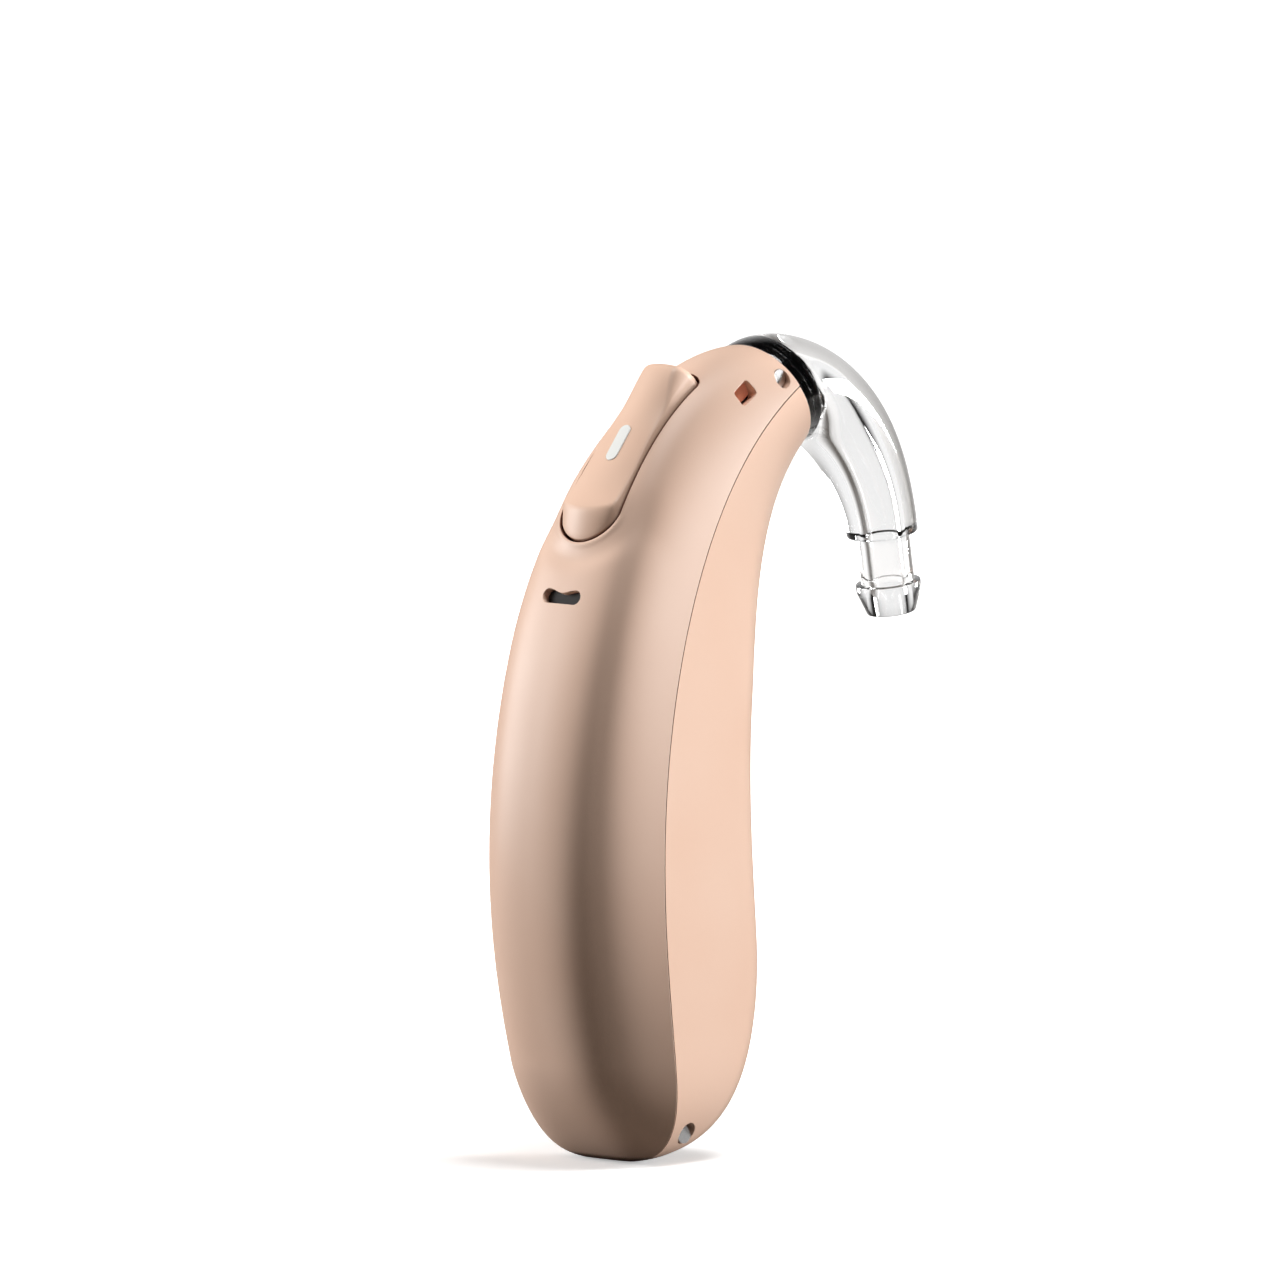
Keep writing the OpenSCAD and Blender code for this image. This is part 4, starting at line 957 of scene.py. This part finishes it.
# Collar: a turned profile with three rounded ribs
collar = {
    "ribRadius": 2.4,
    "ribDepth": 0.28,
    "ribs": 3,
    "out": 1.45,
    "inside": 2.1,
    "body": 2.14,
    "bore": 0.42,
    "nipple": 0.6,
    "nippleLength": 0.7,
}


def collarRings():
    along = np.linspace(0.02, collar["out"] - 0.02, 72)
    phase = along / collar["out"] * collar["ribs"] * 2 * math.pi
    wave = 0.5 - 0.5 * np.cos(phase)
    r = collar["ribRadius"] - collar["ribDepth"] * (1 - wave**0.6)
    root = -collar["inside"]
    low, out = root - collar["nippleLength"], collar["out"]
    profile = [(low, collar["bore"]), (low, collar["nipple"]), (root, collar["nipple"])]
    profile += [(root, collar["body"]), (-0.02, collar["body"]), *zip(along, r)]
    profile += [(out, collar["ribRadius"] - collar["ribDepth"] - 0.08), (out, 1.05)]
    profile += [(out - 0.05, 0.95), (0.0, collar["bore"])]
    return [(jointPoint + a * jointAlong, jointAlong, radius) for a, radius in profile]


collarStack = sweepRings(collarRings(), hook["sides"])
collarFaces = ringFaces(len(collarStack), hook["sides"], wrap=True, flip=True)
verts = collarStack.reshape(-1, 3)
addPiece("ribbedCollar", verts, collarFaces, blackNylon, "housing", ["hook_collar"], angle=50)
print("pieces made")

# Materials of the nodes that keep their own mesh
finishes = {
    "seam_gasket": brownSilicone,
    "rocker_axle": turnedSteel,
    "switch_board": solderMask,
    "volume_up_switch": rolledSteel,
    "volume_down_switch": rolledSteel,
    "status_led": frostedGuide,
    "rear_microphone": goldPlate,
    "rear_mic_gasket": greySilicone,
    "rear_mic_screen": acousticMesh,
    "front_microphone": goldPlate,
    "front_mic_gasket": greySilicone,
    "receiver": rolledSteel,
    "receiver_boot": greySilicone,
    "receiver_tube": greySilicone,
    "collar_pin": turnedSteel,
    "base_pin": turnedSteel,
    "chassis": chassisResin,
    "main_board": solderMask,
    "signal_processor": chipEpoxy,
    "radio_module": rolledSteel,
    "power_module": chipEpoxy,
    "antenna": copperFilm,
    "telecoil": copperFilm,
    "battery_cell": rolledSteel,
    "battery_tab_left": rolledSteel,
    "battery_tab_right": rolledSteel,
    "charge_contacts": goldPlate,
    "charge_flex": copperFilm,
}
for nodeName, material in finishes.items():
    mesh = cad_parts[nodeName].data
    mesh.materials.clear()
    mesh.materials.append(material)

# Stage
studio = {
    "camera": (-48.4, 6.0),
    "distance": 0.9,
    "pxPerMm": 20.5,
    "centrePx": (609.0, 1159.5),
    "framePx": 1280,
    "sensor": 36.0,
    "floorSize": 1.2,
    "floorDrop": 0.02,
    "floorShade": "5A5550",
    "floorGlow": 0.35,
    "room": 0.06,
    "roomTone": "FFF0E2",
    "fieldTurn": 0.15,
}
azimuth, elevation = (math.radians(a) for a in studio["camera"])
rightDirection = np.array([math.cos(azimuth), math.sin(azimuth), 0.0])
level = math.cos(elevation)
lookDirection = np.array([-rightDirection[1] * level, rightDirection[0] * level, -math.sin(elevation)])
upDirection = np.cross(rightDirection, lookDirection)
viewWidth = studio["framePx"] / studio["pxPerMm"] * mm
offsetRight = (studio["framePx"] / 2 - studio["centrePx"][0]) / studio["pxPerMm"] * mm
offsetUp = (studio["centrePx"][1] - studio["framePx"] / 2) / studio["pxPerMm"] * mm
pole = np.array([baseX * mm, 0, 0])
target = pole + rightDirection * offsetRight + upDirection * offsetUp
place = target - lookDirection * studio["distance"]
cameraData = bpy.data.cameras.new("camera")
cameraData.sensor_width = studio["sensor"]
cameraData.lens = studio["sensor"] * studio["distance"] / viewWidth
cameraData.clip_start = 0.05
cameraData.clip_end = 20
camera = bpy.data.objects.new("camera", cameraData)
basis = np.eye(4)
basis[:3, 0], basis[:3, 1], basis[:3, 2], basis[:3, 3] = rightDirection, upDirection, -lookDirection, place
camera.matrix_world = Matrix(basis.tolist())
bpy.context.collection.objects.link(camera)
bpy.context.scene.camera = camera

# White card floor: it takes the shadow, looks white to the camera and throws little light back up
floorMesh = bpy.data.meshes.new("floorCard")
floorTurns = ((-1, -1), (1, -1), (1, 1), (-1, 1))
corners = [(x * studio["floorSize"], y * studio["floorSize"], 0) for x, y in floorTurns]
floorMesh.from_pydata(corners, [], [(0, 1, 2, 3)])
floorCard = bpy.data.objects.new("floorCard", floorMesh)
floorCard.location = (0, 0, -studio["floorDrop"] * mm)
bpy.context.collection.objects.link(floorCard)


def brightField(owner, direction, byCamera):
    # White behind the piece and dark to its sides, for rays that come through clear pieces: a ramp over
    # the cosine between a unit direction and an axis turned a little to the right. The camera sees white.
    axis = unit(lookDirection + studio["fieldTurn"] * rightDirection)
    product = {"operation": "DOT_PRODUCT", 1: tuple(axis.tolist())}
    facing = node(owner, "ShaderNodeVectorMath", product, {0: direction})
    law = {"From Min": 0.5, "From Max": 0.88, "To Min": 0.02, "To Max": 1.0}
    field = node(owner, "ShaderNodeMapRange", law, {"Value": facing.outputs["Value"]})
    both = {0: field.outputs["Result"], 1: byCamera}
    return node(owner, "ShaderNodeMath", {"operation": "MAXIMUM"}, both).outputs[0]


def seenClear(owner):
    # One for the camera's rays and for rays that come through or off a clear piece
    path = node(owner, "ShaderNodeLightPath")
    camera = path.outputs["Is Camera Ray"]
    both = {0: camera, 1: path.outputs["Is Transmission Ray"]}
    through = node(owner, "ShaderNodeMath", {"operation": "MAXIMUM"}, both).outputs[0]
    both = {0: through, 1: path.outputs["Is Singular Ray"]}
    return camera, node(owner, "ShaderNodeMath", {"operation": "MAXIMUM"}, both).outputs[0]


floorPaper, shader = newMaterial("whiteCard", "FFFFFF", 0.9)
byCamera, seen = seenClear(floorPaper)
shade = node(floorPaper, "ShaderNodeValToRGB", {}, {"Fac": byCamera})
shade.color_ramp.elements[0].color = linear(studio["floorShade"])
shade.color_ramp.elements[1].color = linear("FFFFFF")
floorPaper.node_tree.links.new(shade.outputs["Color"], shader.inputs["Base Color"])
spot = node(floorPaper, "ShaderNodeTexCoord")
away = node(floorPaper, "ShaderNodeVectorMath", {"operation": "LENGTH"}, {0: spot.outputs["Object"]})
law = {"From Min": 0.01, "From Max": 0.09, "To Min": studio["floorGlow"], "To Max": 1.0}
reach = node(floorPaper, "ShaderNodeMapRange", law, {"Value": away.outputs["Value"]})
hookX, hookZ = (jointPoint + hookEnd) / 2 * mm
hookMiddle = {"operation": "SUBTRACT", 1: (float(hookX), 0.0, float(hookZ))}
fromHook = node(floorPaper, "ShaderNodeVectorMath", hookMiddle, {0: spot.outputs["Object"]})
toUnit = {"operation": "NORMALIZE"}
bearing = node(floorPaper, "ShaderNodeVectorMath", toUnit, {0: fromHook.outputs["Vector"]})
factors = {0: reach.outputs["Result"], 1: brightField(floorPaper, bearing.outputs["Vector"], byCamera)}
glow = node(floorPaper, "ShaderNodeMath", {"operation": "MULTIPLY"}, factors)
glow = node(floorPaper, "ShaderNodeMath", {"operation": "MULTIPLY"}, {0: glow.outputs[0], 1: seen})
shader.inputs["Emission Color"].default_value = (1, 1, 1, 1)
floorPaper.node_tree.links.new(glow.outputs[0], shader.inputs["Emission Strength"])
floorMesh.materials.append(floorPaper)


def softbox(name, angle, height, distance, size, power):
    # A lamp at an angle from the camera's own azimuth, positive to the right, aimed at the housing
    a = azimuth + math.radians(angle)
    aim = np.array([0, 0, 0.02])
    where = aim + np.array([math.sin(a) * distance, -math.cos(a) * distance, height])
    data = bpy.data.lights.new(name, "AREA")
    data.shape = "RECTANGLE"
    data.size, data.size_y = size
    data.energy = power
    lamp = bpy.data.objects.new(name, data)
    z = unit(where - aim)
    x = unit(np.cross([0, 0, 1.0], z))
    y = np.cross(z, x)
    m = np.eye(4)
    m[:3, 0], m[:3, 1], m[:3, 2], m[:3, 3] = x, y, z, where
    lamp.matrix_world = Matrix(m.tolist())
    bpy.context.collection.objects.link(lamp)
    return lamp


def lights(lamp, name, pieces):
    # The lamp lights only these pieces, as a flag in front of it would have it
    group = bpy.data.collections.new(name)
    for piece in pieces:
        group.objects.link(piece)
    lamp.light_linking.receiver_collection = group


everything = [piece for piece in bpy.data.objects if piece.type == "MESH"]
sideBox = softbox("sideBox", 116, 0.05, 0.45, (0.14, 0.14), 3.0)
lights(sideBox, "litFromTheSide", [piece for piece in everything if piece != frontShell])
panelBox = softbox("panelBox", 52, 0.05, 0.45, (0.2, 0.2), 1.85)
lights(panelBox, "litOnThePanel", [frontShell])
softbox("leftBox", -97, 0.09, 0.42, (0.18, 0.2), 1.8)
softbox("topBox", 60, 0.42, 0.12, (0.2, 0.2), 1.5)

# The room is dim and warm to the pieces, and a bright field to the camera and through clear pieces
world = bpy.data.worlds.new("studioWorld")
bpy.context.scene.world = world
world.use_nodes = True
background = world.node_tree.nodes["Background"]
byCamera, seen = seenClear(world)
toward = node(world, "ShaderNodeTexCoord").outputs["Generated"]
field = brightField(world, toward, byCamera)
mixed = node(world, "ShaderNodeMix", {2: studio["room"]}, {0: seen, 3: field})
tone = node(world, "ShaderNodeValToRGB", {}, {"Fac": seen})
tone.color_ramp.elements[0].color = linear(studio["roomTone"])
tone.color_ramp.elements[1].color = linear("FFFFFF")
world.node_tree.links.new(mixed.outputs[0], background.inputs["Strength"])
world.node_tree.links.new(tone.outputs["Color"], background.inputs["Color"])

bpy.context.scene.view_settings.view_transform = "Standard"
print("stage made")
